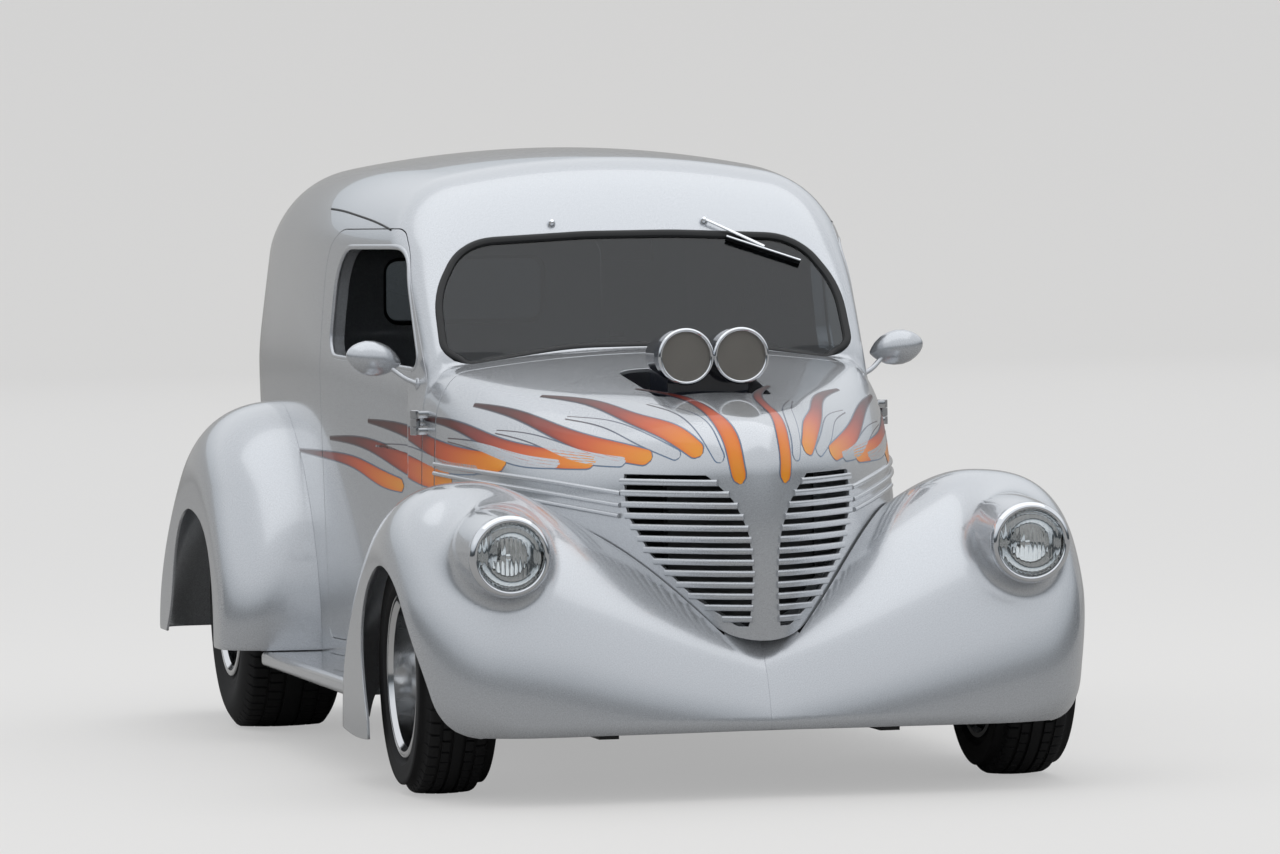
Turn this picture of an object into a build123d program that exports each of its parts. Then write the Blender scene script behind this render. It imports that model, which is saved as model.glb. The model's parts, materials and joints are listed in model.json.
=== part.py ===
from build123d import *
from math import atan2, cos, degrees, pi, radians, sin, sqrt, tan
import os

# Hot rod: late-1930s style sedan delivery. Millimetres, +Z up, front towards -Y, +X is the car's left.
# The origin is on the ground, under the middle of the whole car.

# Overall places
wheelbase = 2540.0
front_axle_y = -1450.0
rear_axle_y = front_axle_y + wheelbase
gap = 5.0
seat_gap = 0.3
panel_gap = 6.0

# Tyres and rims
front_track = 1485.0
front_tyre_radius = 300.0
front_tyre_width = 200.0
rear_track = 1456.0
rear_tyre_radius = 355.0
rear_tyre_width = 290.0
rim_seat_radius = 190.0
rim_lip_radius = 204.0
rim_wall = 9.0
hub_radius = 62.0
tyre_shoulder = 34.0

# Cabin
body_low_z = 250.0
side_wall = 42.0
roof_wall = 34.0
floor_wall = 28.0
body_front_y = -600.0
cowl_front_y = -700.0
body_rear_y = 1985.0
tail_corner_x = 674.0
tail_corner_y = 1690.0
screen_foot_z = 1079.0
screen_head_y = -377.0
screen_head_z = 1395.0
roof_join_y = -100.0
roof_join_z = 1596.0
glass_wall = 6.0

# Doors
door_front_y = -590.0
door_rear_y = 352.0
door_low_z = 296.0
door_high_z = 1372.0
hinge_radius = 12.0
hinge_length = 66.0
hinge_gap = 0.3
hinge_heights = (906.0, 470.0)

# Hood and nose
hood_wall = 12.0
hood_low_z = 675.0
nose_low_z = 392.0
nose_tip_y = -1885.0
nose_band = 32.0
louvre_count = 15
louvre_pitch = 25.0
louvre_slot = 10.0
louvre_top_z = 800.0
scoop_mouth_y = -1355.0
scoop_mouth_z = 1080.0
barrel_radius = 71.0
barrel_spacing = 142.0
barrel_length = 250.0
barrel_wall = 6.0
hole_half_width = 172.0
hole_front_y = -1392.0
hole_rear_y = -960.0

# Fenders and boards
fender_wall = 8.0
lamp_x = 657.0
lamp_y = -1973.0
lamp_z = 614.0
lamp_radius = 92.0
pod_radius = 112.0
pod_length = 480.0
board_outer_x = 865.0
board_inner_x = 716.0
board_top_z = 252.0
board_depth = 46.0

# Frame
rail_x = 360.0
rail_width = 50.0
rail_height = 90.0
rail_low_z = 140.0
rail_rear_y = 1800.0
kingpin_x = 622.0
steer_arm_z = (190.0, 400.0)


def at_mirror(shape):
    return mirror(shape, about=Plane.YZ)


def box_between(low, high):
    size = [high[i] - low[i] for i in range(3)]
    centre = [(high[i] + low[i]) / 2 for i in range(3)]
    return Pos(*centre) * Box(*size)


def face_of(edges):
    return Face(Wire(edges))


def side_prism(points, half_width):
    # A closed outline of (y, z) points, as wide as the car.
    outline = Polyline(*[(-half_width, y, z) for y, z in points], close=True)
    return extrude(face_of(outline.edges()), amount=2 * half_width, dir=(1, 0, 0))


def arch_wire(y, foot_x, foot_z, belt_x, belt_z, lean, corner, crown, top_z):
    # Upright sides that lean in, a round shoulder and a crowned top, all tangent.
    lean = radians(lean)
    along = (-sin(lean), cos(lean))
    inward = (-cos(lean), -sin(lean))
    hub_z = top_z - crown
    start = (belt_x + corner * inward[0], belt_z + corner * inward[1])
    b = start[0] * along[0] + (start[1] - hub_z) * along[1]
    c = start[0] ** 2 + (start[1] - hub_z) ** 2 - (crown - corner) ** 2
    run = -b + sqrt(b * b - c)
    centre = (start[0] + run * along[0], start[1] + run * along[1])
    low = (centre[0] - corner * inward[0], centre[1] - corner * inward[1])
    reach = sqrt(centre[0] ** 2 + (centre[1] - hub_z) ** 2)
    out = (centre[0] / reach, (centre[1] - hub_z) / reach)
    high = (out[0] * crown, hub_z + out[1] * crown)
    half = (atan2(-inward[1], -inward[0]) + atan2(out[1], out[0])) / 2
    middle = (centre[0] + corner * cos(half), centre[1] + corner * sin(half))
    right = [(foot_x, y, foot_z), (belt_x, y, belt_z), (low[0], y, low[1]), (high[0], y, high[1])]
    left = [(-x, y, z) for x, y, z in right]
    return Wire([
        Edge.make_line(left[0], right[0]),
        Edge.make_line(right[0], right[1]),
        Edge.make_line(right[1], right[2]),
        Edge.make_three_point_arc(right[2], (middle[0], y, middle[1]), right[3]),
        Edge.make_three_point_arc(right[3], (0, y, top_z), left[3]),
        Edge.make_three_point_arc(left[3], (-middle[0], y, middle[1]), left[2]),
        Edge.make_line(left[2], left[1]),
        Edge.make_line(left[1], left[0]),
    ])


# y, sill half width, belt half width, belt height, lean above the belt, shoulder, crown, top
body_stations = (
    (-600.0, 588.0, 600.0, 965.0, 3.0, 130.0, 2600.0, 1500.0),
    (-200.0, 640.0, 658.0, 1005.0, 3.5, 170.0, 2500.0, 1578.0),
    (352.0, 700.0, 722.0, 1050.0, 4.0, 200.0, 2400.0, 1626.0),
    (1000.0, 700.0, 724.0, 1060.0, 4.5, 200.0, 2400.0, 1632.0),
    (1550.0, 665.0, 692.0, 1062.0, 5.0, 210.0, 2400.0, 1602.0),
    (2000.0, 560.0, 600.0, 1058.0, 6.0, 220.0, 2200.0, 1500.0),
)


def body_block(inset):
    wires = []
    for y, sill, belt, belt_z, lean, corner, crown, top in body_stations:
        wires.append(arch_wire(y, sill - inset, body_low_z, belt - inset, belt_z, lean,
                               corner - inset, crown - inset, top - inset * roof_wall / side_wall))
    return Solid.make_loft(wires)


def side_outline(inset):
    # Cowl, windscreen, header, roof line, rounded tail.
    slope = sqrt((screen_head_y - body_front_y) ** 2 + (screen_head_z - screen_foot_z) ** 2)
    back = inset * (screen_head_z - screen_foot_z) / slope
    down = inset * (screen_head_y - body_front_y) / slope
    foot = (body_front_y + back, screen_foot_z - down)
    head = (screen_head_y + back, screen_head_z - down)
    join = (roof_join_y + inset * 0.3, roof_join_z - inset)
    bend = (screen_head_y + 108 + back * 0.8, screen_head_z + 122 - down)
    tail_top = (1560.0, 1650.0 - inset)
    tail_bend = (1875.0 - inset * 0.75, 1505.0 - inset * 0.7)
    tail = (body_rear_y - inset, 1150.0)
    tail_low = (body_rear_y - 90.0 - inset, 380.0)
    x = -900.0

    def p(point):
        return (x, point[0], point[1])

    low = body_low_z - 40
    high = 1900.0
    edges = [
        Edge.make_line((x, foot[0], low), p(foot)),
        Edge.make_line(p(foot), p(head)),
        Edge.make_three_point_arc(p(head), p(bend), p(join)),
        Edge.make_line(p(join), (x, join[0], high)),
        Edge.make_line((x, join[0], high), (x, tail_top[0], high)),
        Edge.make_line((x, tail_top[0], high), p(tail_top)),
        Edge.make_three_point_arc(p(tail_top), p(tail_bend), p(tail)),
        Edge.make_three_point_arc(p(tail), (x, body_rear_y - 22 - inset, 760.0), p(tail_low)),
        Edge.make_line(p(tail_low), (x, tail_low[0], low)),
        Edge.make_line((x, tail_low[0], low), (x, foot[0], low)),
    ]
    return extrude(face_of(edges), amount=1800.0, dir=(1, 0, 0))


def plan_outline(inset):
    # The tail's rounded corners, seen from above.
    z = body_low_z - 60.0
    side = (tail_corner_x - inset, tail_corner_y, z)
    bend = (tail_corner_x - 62.0 - inset * 0.85, tail_corner_y + 200.0 - inset * 0.6, z)
    back = (430.0, body_rear_y - 14.0 - inset, z)

    def flipped(point):
        return (-point[0], point[1], z)

    far = (900.0, tail_corner_y, z)
    front = (900.0, -900.0, z)
    edges = [
        Edge.make_line(front, far),
        Edge.make_line(far, side),
        Edge.make_three_point_arc(side, bend, back),
        Edge.make_three_point_arc(back, (0.0, body_rear_y - inset, z), flipped(back)),
        Edge.make_three_point_arc(flipped(back), flipped(bend), flipped(side)),
        Edge.make_line(flipped(side), flipped(far)),
        Edge.make_line(flipped(far), flipped(front)),
        Edge.make_line(flipped(front), front),
    ]
    return extrude(face_of(edges), amount=1700.0, dir=(0, 0, 1))


def body_solid(inset):
    return body_block(inset) & side_outline(inset) & plan_outline(inset)


# y, side half width at the foot, lean, shoulder, crown, top
hood_stations = (
    (-700.0, 592.0, 1.5, 120.0, 5200.0, 1068.0),
    (-1000.0, 545.0, 5.0, 150.0, 2200.0, 1036.0),
    (-1360.0, 440.0, 8.0, 165.0, 1000.0, 990.0),
    (-1620.0, 330.0, 10.0, 130.0, 520.0, 966.0),
    (-1940.0, 230.0, 12.0, 90.0, 300.0, 900.0),
)
hood_foot_z = 340.0


def hood_arch(inset):
    wires = []
    for y, side, lean, corner, crown, top in hood_stations:
        foot = side + (hood_low_z - hood_foot_z) * tan(radians(lean)) - inset
        wires.append(arch_wire(y, foot, hood_foot_z, side - inset, hood_low_z, lean,
                               corner - inset, crown - inset, top - inset))
    return Solid.make_loft(wires)


# height, y of the ridge, half width where the side arc passes 310 mm behind the ridge
nose_levels = (
    (340.0, -1880.0, 270.0),
    (600.0, -1908.0, 284.0),
    (750.0, -1902.0, 286.0),
    (870.0, -1862.0, 288.0),
    (1000.0, -1700.0, 300.0),
    (1120.0, -1400.0, 320.0),
)


def nose_block(inset):
    wires = []
    for z, ridge, width in nose_levels:
        tip = (0.0, ridge + inset, z)
        side = (nose_band, ridge + 16.0 + inset, z)
        middle = (width - inset, ridge + 310.0, z)
        back = (690.0 - inset, -690.0, z)
        wires.append(Wire([
            Edge.make_line((-back[0], back[1], z), back),
            Edge.make_three_point_arc(back, middle, side),
            Edge.make_three_point_arc(side, tip, (-side[0], side[1], z)),
            Edge.make_three_point_arc((-side[0], side[1], z), (-middle[0], middle[1], z), (-back[0], back[1], z)),
        ]))
    return Solid.make_loft(wires)


def hood_region():
    # What is above the fender line, in side view.
    return side_prism([(-2100.0, 285.0), (nose_tip_y, nose_low_z), (-1300.0, hood_low_z),
                       (cowl_front_y - panel_gap, 700.0), (cowl_front_y - panel_gap, 1300.0), (-2100.0, 1300.0)], 900.0)


def hood_solid(inset):
    return hood_arch(inset) & nose_block(inset)


# x, front y, crown y, crown height, rear y
fender_stations = (
    (0.0, -1935.0, -1630.0, 452.0, -680.0),
    (240.0, -1948.0, -1560.0, 575.0, -680.0),
    (450.0, -1950.0, -1480.0, 705.0, -680.0),
    (665.0, -1935.0, -1450.0, 778.0, -715.0),
    (840.0, -1865.0, -1450.0, 690.0, -800.0),
    (912.0, -1740.0, -1450.0, 560.0, -960.0),
)
rear_fender_stations = (
    (600.0, 505.0, 1060.0, 935.0, 1690.0),
    (800.0, 520.0, 1055.0, 912.0, 1690.0),
    (905.0, 600.0, 1055.0, 815.0, 1640.0),
    (958.0, 740.0, 1055.0, 655.0, 1500.0),
)
fender_low_z = 100.0


def pontoon(stations, inset):
    wires = []
    for x, front, crown_y, crown_z, rear in stations:
        last = x == stations[-1][0]
        x = x - inset if last else x
        low = fender_low_z
        ends = []
        for end in (front + inset, rear - inset):
            reach = abs(end - crown_y)
            rise = crown_z - inset - low
            radius = (reach ** 2 + rise ** 2) / (2 * rise)
            swing = atan2(reach, radius - rise) / 2
            sign = 1 if end > crown_y else -1
            middle = (x, crown_y + sign * radius * sin(swing), crown_z - inset - radius + radius * cos(swing))
            ends.append(((x, end, low), middle))
        crown = (x, crown_y, crown_z - inset)
        wires.append(Wire([
            Edge.make_three_point_arc(ends[0][0], ends[0][1], crown),
            Edge.make_three_point_arc(crown, ends[1][1], ends[1][0]),
            Edge.make_line(ends[1][0], ends[0][0]),
        ]))
    return Solid.make_loft(wires)


def ring(centre, axis_dir, profile):
    # A turned piece: (distance along the axis, radius) points round an axis.
    plane = Plane(origin=centre, x_dir=axis_dir, z_dir=(0, 0, 1) if abs(axis_dir[2]) < 0.5 else (0, 1, 0))
    outline = plane * Polyline(*[(a, r) for a, r in profile], close=True)
    return revolve(face_of(outline.edges()), axis=Axis(centre, axis_dir), revolution_arc=360)



def write(name, *solids):
    # One STEP file for each named piece; several solids may share a name where they don't touch.
    shape = solids[0] if len(solids) == 1 else Compound(children=list(solids))
    export_step(shape, f"parts/{name}.step")
    print(name, round(shape.volume / 1000), "cm3")


def both(name, left):
    write(name + "_left", left)
    write(name + "_right", at_mirror(left))


def upright(x, y, z, radius, length):
    return Pos(x, y, z) * Cylinder(radius, length)


def along_y(x, y, z, radius, length):
    return Pos(x, y, z) * Rot(90, 0, 0) * Cylinder(radius, length)


def along_x(x, y, z, radius, length):
    return Pos(x, y, z) * Rot(0, 90, 0) * Cylinder(radius, length)


def one(shape):
    # The largest solid of a cut, without its offcuts.
    return sorted(shape.solids(), key=lambda solid: solid.volume)[-1]


os.makedirs("parts", exist_ok=True)

# Body shell, cut into its panels
body_outer = body_solid(0)
body_inner = body_solid(side_wall)
shell = body_outer - body_inner

window_points = [(-520.0, 1034.0), (-352.0, 1262.0), (-290.0, 1322.0), (170.0, 1332.0),
                 (228.0, 1290.0), (250.0, 1076.0)]
door_points = [(door_front_y, door_low_z), (door_front_y, 1010.0), (-345.0, 1335.0), (-300.0, door_high_z),
               (door_rear_y - 70.0, door_high_z), (door_rear_y, door_high_z - 70.0), (door_rear_y, door_low_z)]


def grown_prism(points, amount):
    # A side-view outline, moved out by an even amount, as wide as the car.
    face = face_of(Polyline(*points, close=True).edges())
    wide = offset(face, amount=amount, kind=Kind.INTERSECTION)
    turned = Plane(origin=(-900.0, 0, 0), x_dir=(0, 1, 0), z_dir=(1, 0, 0)) * wide
    return extrude(turned, amount=1800.0, dir=(1, 0, 0))


window_cut = side_prism(window_points, 900.0)
door_cut = side_prism(door_points, 900.0)
door_hole = grown_prism(door_points, panel_gap)
left_half = box_between((0.0, -3000.0, -100.0), (1000.0, 3000.0, 2000.0))

# Windscreen opening and glass, on the sloping plane of the screen
slope = atan2(screen_head_z - screen_foot_z, screen_head_y - body_front_y)
screen_length = sqrt((screen_head_y - body_front_y) ** 2 + (screen_head_z - screen_foot_z) ** 2)


def screen_block(grow, sink, depth):
    origin = (0, body_front_y + sink * sin(slope), screen_foot_z - sink * cos(slope))
    plane = Plane(origin=origin, x_dir=(1, 0, 0), z_dir=(0, -sin(slope), cos(slope)))
    low = 12.0 - grow
    high = screen_length - 10.0 + grow
    outline = Polyline((-478 - grow, low), (478 + grow, low), (540 + grow, 90), (542 + grow, 170),
                       (500 + grow, high - 60), (420 + grow, high), (-420 - grow, high),
                       (-500 - grow, high - 60), (-542 - grow, 170), (-540 - grow, 90), close=True)
    return extrude(plane * face_of(outline.edges()), amount=-depth)


screen_cut = screen_block(0.0, -60.0, 150.0)
screen_seat = screen_block(9.0, 12.0, glass_wall + 2 * seat_gap)
screen_glass = screen_block(9.0 - seat_gap, 12.0 + seat_gap, glass_wall)
cabin_front = shell - screen_cut - screen_seat

# The rear door, its opening and its window
rear_door_half = 418.0
rear_door_low_z = 330.0
rear_door_high_z = 1400.0
rear_window_half = 250.0
rear_window_z = (1120.0, 1330.0)


def rear_block(half, low, high, corner, depth_y):
    face = RectangleRounded(2 * half, high - low, corner)
    plane = Plane(origin=(0, 2100.0, (low + high) / 2), x_dir=(1, 0, 0), z_dir=(0, -1, 0))
    return extrude(plane * face, amount=2100.0 - depth_y)


rear_hole = rear_block(rear_door_half + panel_gap, rear_door_low_z - panel_gap, rear_door_high_z + panel_gap, 86.0, 1700.0)
rear_piece = rear_block(rear_door_half, rear_door_low_z, rear_door_high_z, 80.0, 1700.0)
rear_window = rear_block(rear_window_half, rear_window_z[0], rear_window_z[1], 50.0, 1700.0)

# Wheel houses
house_radius = 405.0
house_inner_x = 545.0
house_wall = 8.0
house = along_x(house_inner_x + 300.0, rear_axle_y, rear_tyre_radius, house_radius, 600.0)

tail_y = 1790.0
header_y = -318.0
drip_z = 1452.0
quarter_cut = box_between((0.0, door_rear_y + panel_gap, body_low_z), (1000.0, tail_y, drip_z))
roof_cut = box_between((-1000.0, header_y, drip_z + seat_gap), (1000.0, tail_y, 1700.0))
tail_cut = box_between((-1000.0, tail_y + seat_gap, 0.0), (1000.0, 2100.0, 1700.0))
lintel_cut = box_between((-1000.0, header_y, door_high_z), (1000.0, door_rear_y + panel_gap - seat_gap, drip_z + 1.0))
cowl_panel_cut = box_between((-1000.0, -700.0, body_low_z), (1000.0, header_y - seat_gap, 1700.0))
sill_cut = box_between((-1000.0, door_front_y - panel_gap, 0.0), (1000.0, door_rear_y + panel_gap, door_low_z - panel_gap))

door_skin = shell - body_block(side_wall)
door = one((door_skin & door_cut & left_half) - window_cut)
door_hole = door_hole - body_block(side_wall + panel_gap)
quarter = one((shell & quarter_cut) - house)
roof = one(shell & (roof_cut + lintel_cut) - door_hole)
tail = one((shell & tail_cut) - rear_hole)
rear_door = one(shell & rear_piece & tail_cut - rear_window)

# Cowl: the firewall, its sides and the windscreen frame
cowl_stations = (
    (cowl_front_y, 592.0, 1.5, 120.0, 5200.0, 1068.0),
    (body_front_y, 598.0, 1.5, 120.0, 6000.0, 1079.0),
)


def cowl_block(inset):
    wires = []
    for y, side, lean, corner, crown, top in cowl_stations:
        foot = side + (hood_low_z - body_low_z) * tan(radians(lean)) * 0.2 - inset
        wires.append(arch_wire(y, foot, body_low_z, side - inset, hood_low_z, lean,
                               corner - inset, crown - inset, top - inset))
    return Solid.make_loft(wires)


cowl_band = cowl_block(0.0) - cowl_block(36.0)
cowl = one((cabin_front & cowl_panel_cut) - door_hole - sill_cut + cowl_band)

# Door hinges: the middle barrel is the door's, the outer two are the cowl's
hinge_x = 632.0
hinge_y = door_front_y - 14.0
door_barrels = []
cowl_barrels = []
for height in hinge_heights:
    third = hinge_length / 3
    door_barrels.append(upright(hinge_x, hinge_y, height, hinge_radius, third - 2 * hinge_gap))
    low = height - third / 2 + hinge_gap
    high = height + third / 2 - hinge_gap
    door_barrels.append(box_between((608.0, hinge_y, low), (hinge_x, door_front_y + 20.0, high)))
    door_barrels.append(box_between((588.0, door_front_y, low), (hinge_x - 6.0, door_front_y + 34.0, high)))
    for side in (-1, 1):
        middle = height + side * third
        cowl_barrels.append(upright(hinge_x, hinge_y, middle, hinge_radius, third))
        cowl_barrels.append(box_between((585.0, hinge_y - 40.0, middle - third / 2), (hinge_x, hinge_y, middle + third / 2)))
for piece in door_barrels:
    door = door + piece
hinge_room = [upright(hinge_x, hinge_y, height, hinge_radius + gap, hinge_length + 2 * hinge_gap) for height in hinge_heights]
for room in hinge_room:
    cowl = cowl - room - at_mirror(room)
for piece in cowl_barrels:
    cowl = cowl + piece + at_mirror(piece)
cowl = one(cowl)
door = one(door)

# Rear door hinges on the car's left, and the licence plate holes in the panel below it
rear_hinge_x = rear_door_half + 20.0
rear_hinge_y = body_rear_y
rear_hinge_radius = 10.0
for height in (1060.0, 730.0):
    third = hinge_length / 3
    rear_door = rear_door + upright(rear_hinge_x, rear_hinge_y, height, rear_hinge_radius, third - 2 * hinge_gap)
    rear_door = rear_door + box_between((rear_door_half - 40.0, body_rear_y - 50.0, height - third / 2 + hinge_gap),
                                        (rear_door_half - 1.0, rear_hinge_y + 6.0, height + third / 2 - hinge_gap))
    rear_door = rear_door + box_between((rear_door_half - 2.0, rear_hinge_y - 6.0, height - third / 2 + hinge_gap),
                                        (rear_hinge_x, rear_hinge_y + 6.0, height + third / 2 - hinge_gap))
    tail = tail - upright(rear_hinge_x, rear_hinge_y, height, rear_hinge_radius + gap, third + 0.01)
    for side in (-1, 1):
        middle = height + side * third
        tail = tail + upright(rear_hinge_x, rear_hinge_y, middle, rear_hinge_radius, third)
        tail = tail + box_between((rear_hinge_x, body_rear_y - 50.0, middle - third / 2), (rear_hinge_x + 34.0, rear_hinge_y + 4.0, middle + third / 2))
plate_spacing = 177.8
plate_hole = 3.25
plate_z = 287.0
for side in (-1, 1):
    tail = tail - along_y(side * plate_spacing / 2, body_rear_y - 100.0, plate_z, plate_hole, 300.0)
tail = one(tail)
rear_door = one(rear_door)
rear_glass_y = (1850.0, 2100.0)
rear_window_seat = rear_block(rear_window_half + 9.0, rear_window_z[0] - 9.0, rear_window_z[1] + 9.0, 56.0, 1850.0)
rear_glass_room = rear_window_seat & (body_solid(14.0) - body_solid(14.0 + glass_wall + 2 * seat_gap))
rear_door = one(rear_door - rear_glass_room)
rear_glass_face = rear_block(rear_window_half + 9.0 - seat_gap, rear_window_z[0] - 9.0 + seat_gap, rear_window_z[1] + 9.0 - seat_gap, 56.0, 1850.0)
rear_glass = one(rear_glass_face & (body_solid(14.0 + seat_gap) - body_solid(14.0 + seat_gap + glass_wall)))

# Hood: one piece with the nose, its louvres and the scoop's opening
hood_outer = hood_solid(0.0) & hood_region()
hood = hood_outer - hood_solid(hood_wall)
hood = hood - box_between((-hole_half_width, hole_front_y, 800.0), (hole_half_width, hole_rear_y, 1300.0))
bank_edge = ((435.0, 58.0), (560.0, 148.0), (680.0, 232.0), (830.0, 292.0))


def bank_reach(z):
    # How far out a louvre runs at this height.
    for (low_z, low_x), (high_z, high_x) in zip(bank_edge, bank_edge[1:]):
        if z <= high_z:
            return low_x + (high_x - low_x) * (z - low_z) / (high_z - low_z)
    return bank_edge[-1][1]


slots = []
for index in range(louvre_count):
    z = louvre_top_z - index * louvre_pitch
    reach = bank_reach(z)
    for side in (-1, 1):
        near = side * nose_band
        far = side * reach
        slots.append(box_between((min(near, far), -2000.0, z - louvre_slot / 2), (max(near, far), -1480.0, z + louvre_slot / 2)))
hood = one(hood - slots)

# Hood hinge: barrels hidden behind the scoop
hood_hinge_z = 1066.0
hood_hinge_y = cowl_front_y
hood_barrel = 6.0
for side in (-1, 1):
    middle = side * 115.0
    hood = hood - along_x(middle, hood_hinge_y, hood_hinge_z, hood_barrel + 3.0, 60.0)
    cowl = cowl - along_x(middle, hood_hinge_y, hood_hinge_z, hood_barrel + 3.0, 60.0)
    hood = hood + along_x(middle, hood_hinge_y, hood_hinge_z, hood_barrel, 18.0)
    hood = hood + box_between((middle - 9.0, cowl_front_y - 24.0, hood_hinge_z - 5.0), (middle + 9.0, hood_hinge_y, hood_hinge_z + 2.0))
    for end in (-1, 1):
        x = middle + end * (15.0 + hinge_gap)
        cowl = cowl + along_x(x, hood_hinge_y, hood_hinge_z, hood_barrel, 12.0)
        cowl = cowl + box_between((x - 6.0, hood_hinge_y, hood_hinge_z - 5.0), (x + 6.0, hood_hinge_y + 16.0, hood_hinge_z + 2.0))
hood = one(hood)
cowl = one(cowl)

# Front fender with half of the pan and its lamp pod
board_front_y = -764.0
board_rear_y = 528.0
board_low_z = board_top_z - board_depth
board = box_between((rail_x + rail_width / 2 + seat_gap, board_front_y, board_low_z), (board_outer_x, board_rear_y, body_low_z - seat_gap))
board = fillet(board.edges().filter_by(Axis.Y).sort_by(Axis.X)[-2:], 16.0)
board_room = box_between((rail_x, board_front_y - seat_gap, board_low_z - 30.0), (board_outer_x + 200.0, board_rear_y + seat_gap, body_low_z + 1.0))


def lamp_pod():
    centre = (lamp_x, 0.0, lamp_z)
    front = lamp_y + 10.0
    tail = lamp_y + pod_length
    edges = [
        Edge.make_line((lamp_x, front, lamp_z), (lamp_x + pod_radius - 8.0, front, lamp_z)),
        Edge.make_three_point_arc((lamp_x + pod_radius - 8.0, front, lamp_z), (lamp_x + pod_radius, front + 80.0, lamp_z),
                                  (lamp_x + pod_radius - 16.0, front + 230.0, lamp_z)),
        Edge.make_line((lamp_x + pod_radius - 16.0, front + 230.0, lamp_z), (lamp_x, tail, lamp_z)),
        Edge.make_line((lamp_x, tail, lamp_z), (lamp_x, front, lamp_z)),
    ]
    return revolve(face_of(edges), axis=Axis(centre, (0, 1, 0)), revolution_arc=360)


opening_radius = 350.0
opening_top_z = 555.0
fender_trim = side_prism([(-2100.0, 172.0), (-1700.0, 165.0), (-1100.0, 120.0), (-900.0, 137.0), (-700.0, 160.0),
                          (-700.0, 0.0), (-2100.0, 0.0)], 1000.0)
wheel_opening = along_x(800.0 + 300.0, front_axle_y + 10.0, opening_top_z - opening_radius, opening_radius, 600.0)
bay_points = [(0.0, -1800.0), (100.0, -1765.0), (205.0, -1640.0), (286.0, -1500.0), (400.0, -1290.0), (500.0, -1080.0),
              (556.0, -690.0), (0.0, -690.0)]
bay = extrude(face_of(Polyline(*[(x, y, 50.0) for x, y in bay_points], close=True).edges()), amount=1000.0, dir=(0, 0, 1))
hood_room = (hood_arch(-gap) & nose_block(-gap)) & side_prism(
    [(-2100.0, 285.0 - 6.0), (nose_tip_y, nose_low_z - 6.0), (-1300.0, hood_low_z - 6.0),
     (cowl_front_y + 50.0, 694.0), (cowl_front_y + 50.0, 1300.0), (-2100.0, 1300.0)], 900.0)
fender_outer = pontoon(fender_stations, 0.0) + lamp_pod()
fender = fender_outer - pontoon(fender_stations, fender_wall) - fender_trim - wheel_opening - bay - hood_room
fender = fender - box_between((-100.0, cowl_front_y - seat_gap, 0.0), (1000.0, 0.0, 1000.0)) - board_room
fender = fender - box_between((-100.0, -2100.0, 0.0), (seat_gap / 2, 0.0, 1000.0))
fender = one(fender - along_y(lamp_x, lamp_y, lamp_z, lamp_radius + seat_gap, 190.0))


def turned_y(x, z, profile):
    # Points are (y, radius) about a line along Y.
    outline = Polyline(*[(x + r, y, z) for y, r in profile], close=True)
    return revolve(face_of(outline.edges()), axis=Axis((x, 0, z), (0, 1, 0)), revolution_arc=360)


headlight = turned_y(lamp_x, lamp_z, [
    (lamp_y - 14.0, 0.0), (lamp_y - 11.0, 45.0), (lamp_y - 3.0, 82.0), (lamp_y - 6.0, 84.0), (lamp_y - 6.0, 92.0),
    (lamp_y + 2.0, 101.0), (lamp_y + 10.0 - seat_gap, 103.0), (lamp_y + 10.0 - seat_gap, lamp_radius),
    (lamp_y + 50.0, lamp_radius), (lamp_y + 94.0, 50.0), (lamp_y + 94.0, 0.0)])

# Rear fender on the quarter panel
rear_fender = pontoon(rear_fender_stations, 0.0) - pontoon(rear_fender_stations, fender_wall)
rear_opening = along_x(1150.0, rear_axle_y + 5.0, 230.0, 370.0, 600.0)
rear_trim = side_prism([(400.0, 262.0), (800.0, 262.0), (1400.0, 250.0), (1800.0, 258.0), (1800.0, 0.0), (400.0, 0.0)], 1000.0)
rear_fender = one(rear_fender - rear_opening - rear_trim - body_solid(-seat_gap) - board_room)

# Floor, raised over the axle, with wheel houses and sills
floor_room = body_solid(side_wall + seat_gap)
low_floor = box_between((-900.0, door_front_y + 25.0, body_low_z), (900.0, 640.0, body_low_z + floor_wall)) & floor_room
sill_band = (body_outer & box_between((-900.0, door_front_y - panel_gap + seat_gap, body_low_z),
                                      (900.0, door_rear_y + panel_gap - seat_gap, door_low_z - panel_gap))) - body_inner
sill_foot = body_outer & box_between((-900.0, door_front_y + 30.0, body_low_z),
                                     (900.0, door_rear_y + panel_gap - seat_gap, body_low_z + floor_wall))
rear_floor_z = 520.0
riser = box_between((-900.0, 640.0 - 12.0, body_low_z), (900.0, 640.0, rear_floor_z + 20.0)) & floor_room
rear_floor = box_between((-900.0, 628.0, rear_floor_z), (900.0, 1850.0, rear_floor_z + 20.0)) & floor_room
houses = []
for side in (-1, 1):
    cover = along_x(side * (house_inner_x + 300.0), rear_axle_y, rear_tyre_radius, house_radius + house_wall, 616.0)
    hollow = along_x(side * (house_inner_x + 300.0), rear_axle_y, rear_tyre_radius, house_radius, 600.0)
    houses.append((cover, hollow))
floor = low_floor + sill_band + sill_foot + riser + rear_floor
for cover, hollow in houses:
    floor = floor + (cover & floor_room & box_between((-900.0, 628.0, rear_floor_z), (900.0, 1850.0, 900.0)))
for cover, hollow in houses:
    floor = floor - hollow
floor = one(floor)

# Frame
rail_points = [(-1700.0, rail_low_z), (-1700.0, rail_low_z + rail_height), (640.0, rail_low_z + rail_height),
               (800.0, 505.0), (1390.0, 505.0), (1560.0, 400.0), (rail_rear_y, 400.0), (rail_rear_y, 320.0), (1530.0, 320.0),
               (1350.0, 425.0), (840.0, 425.0), (700.0, rail_low_z)]


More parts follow.
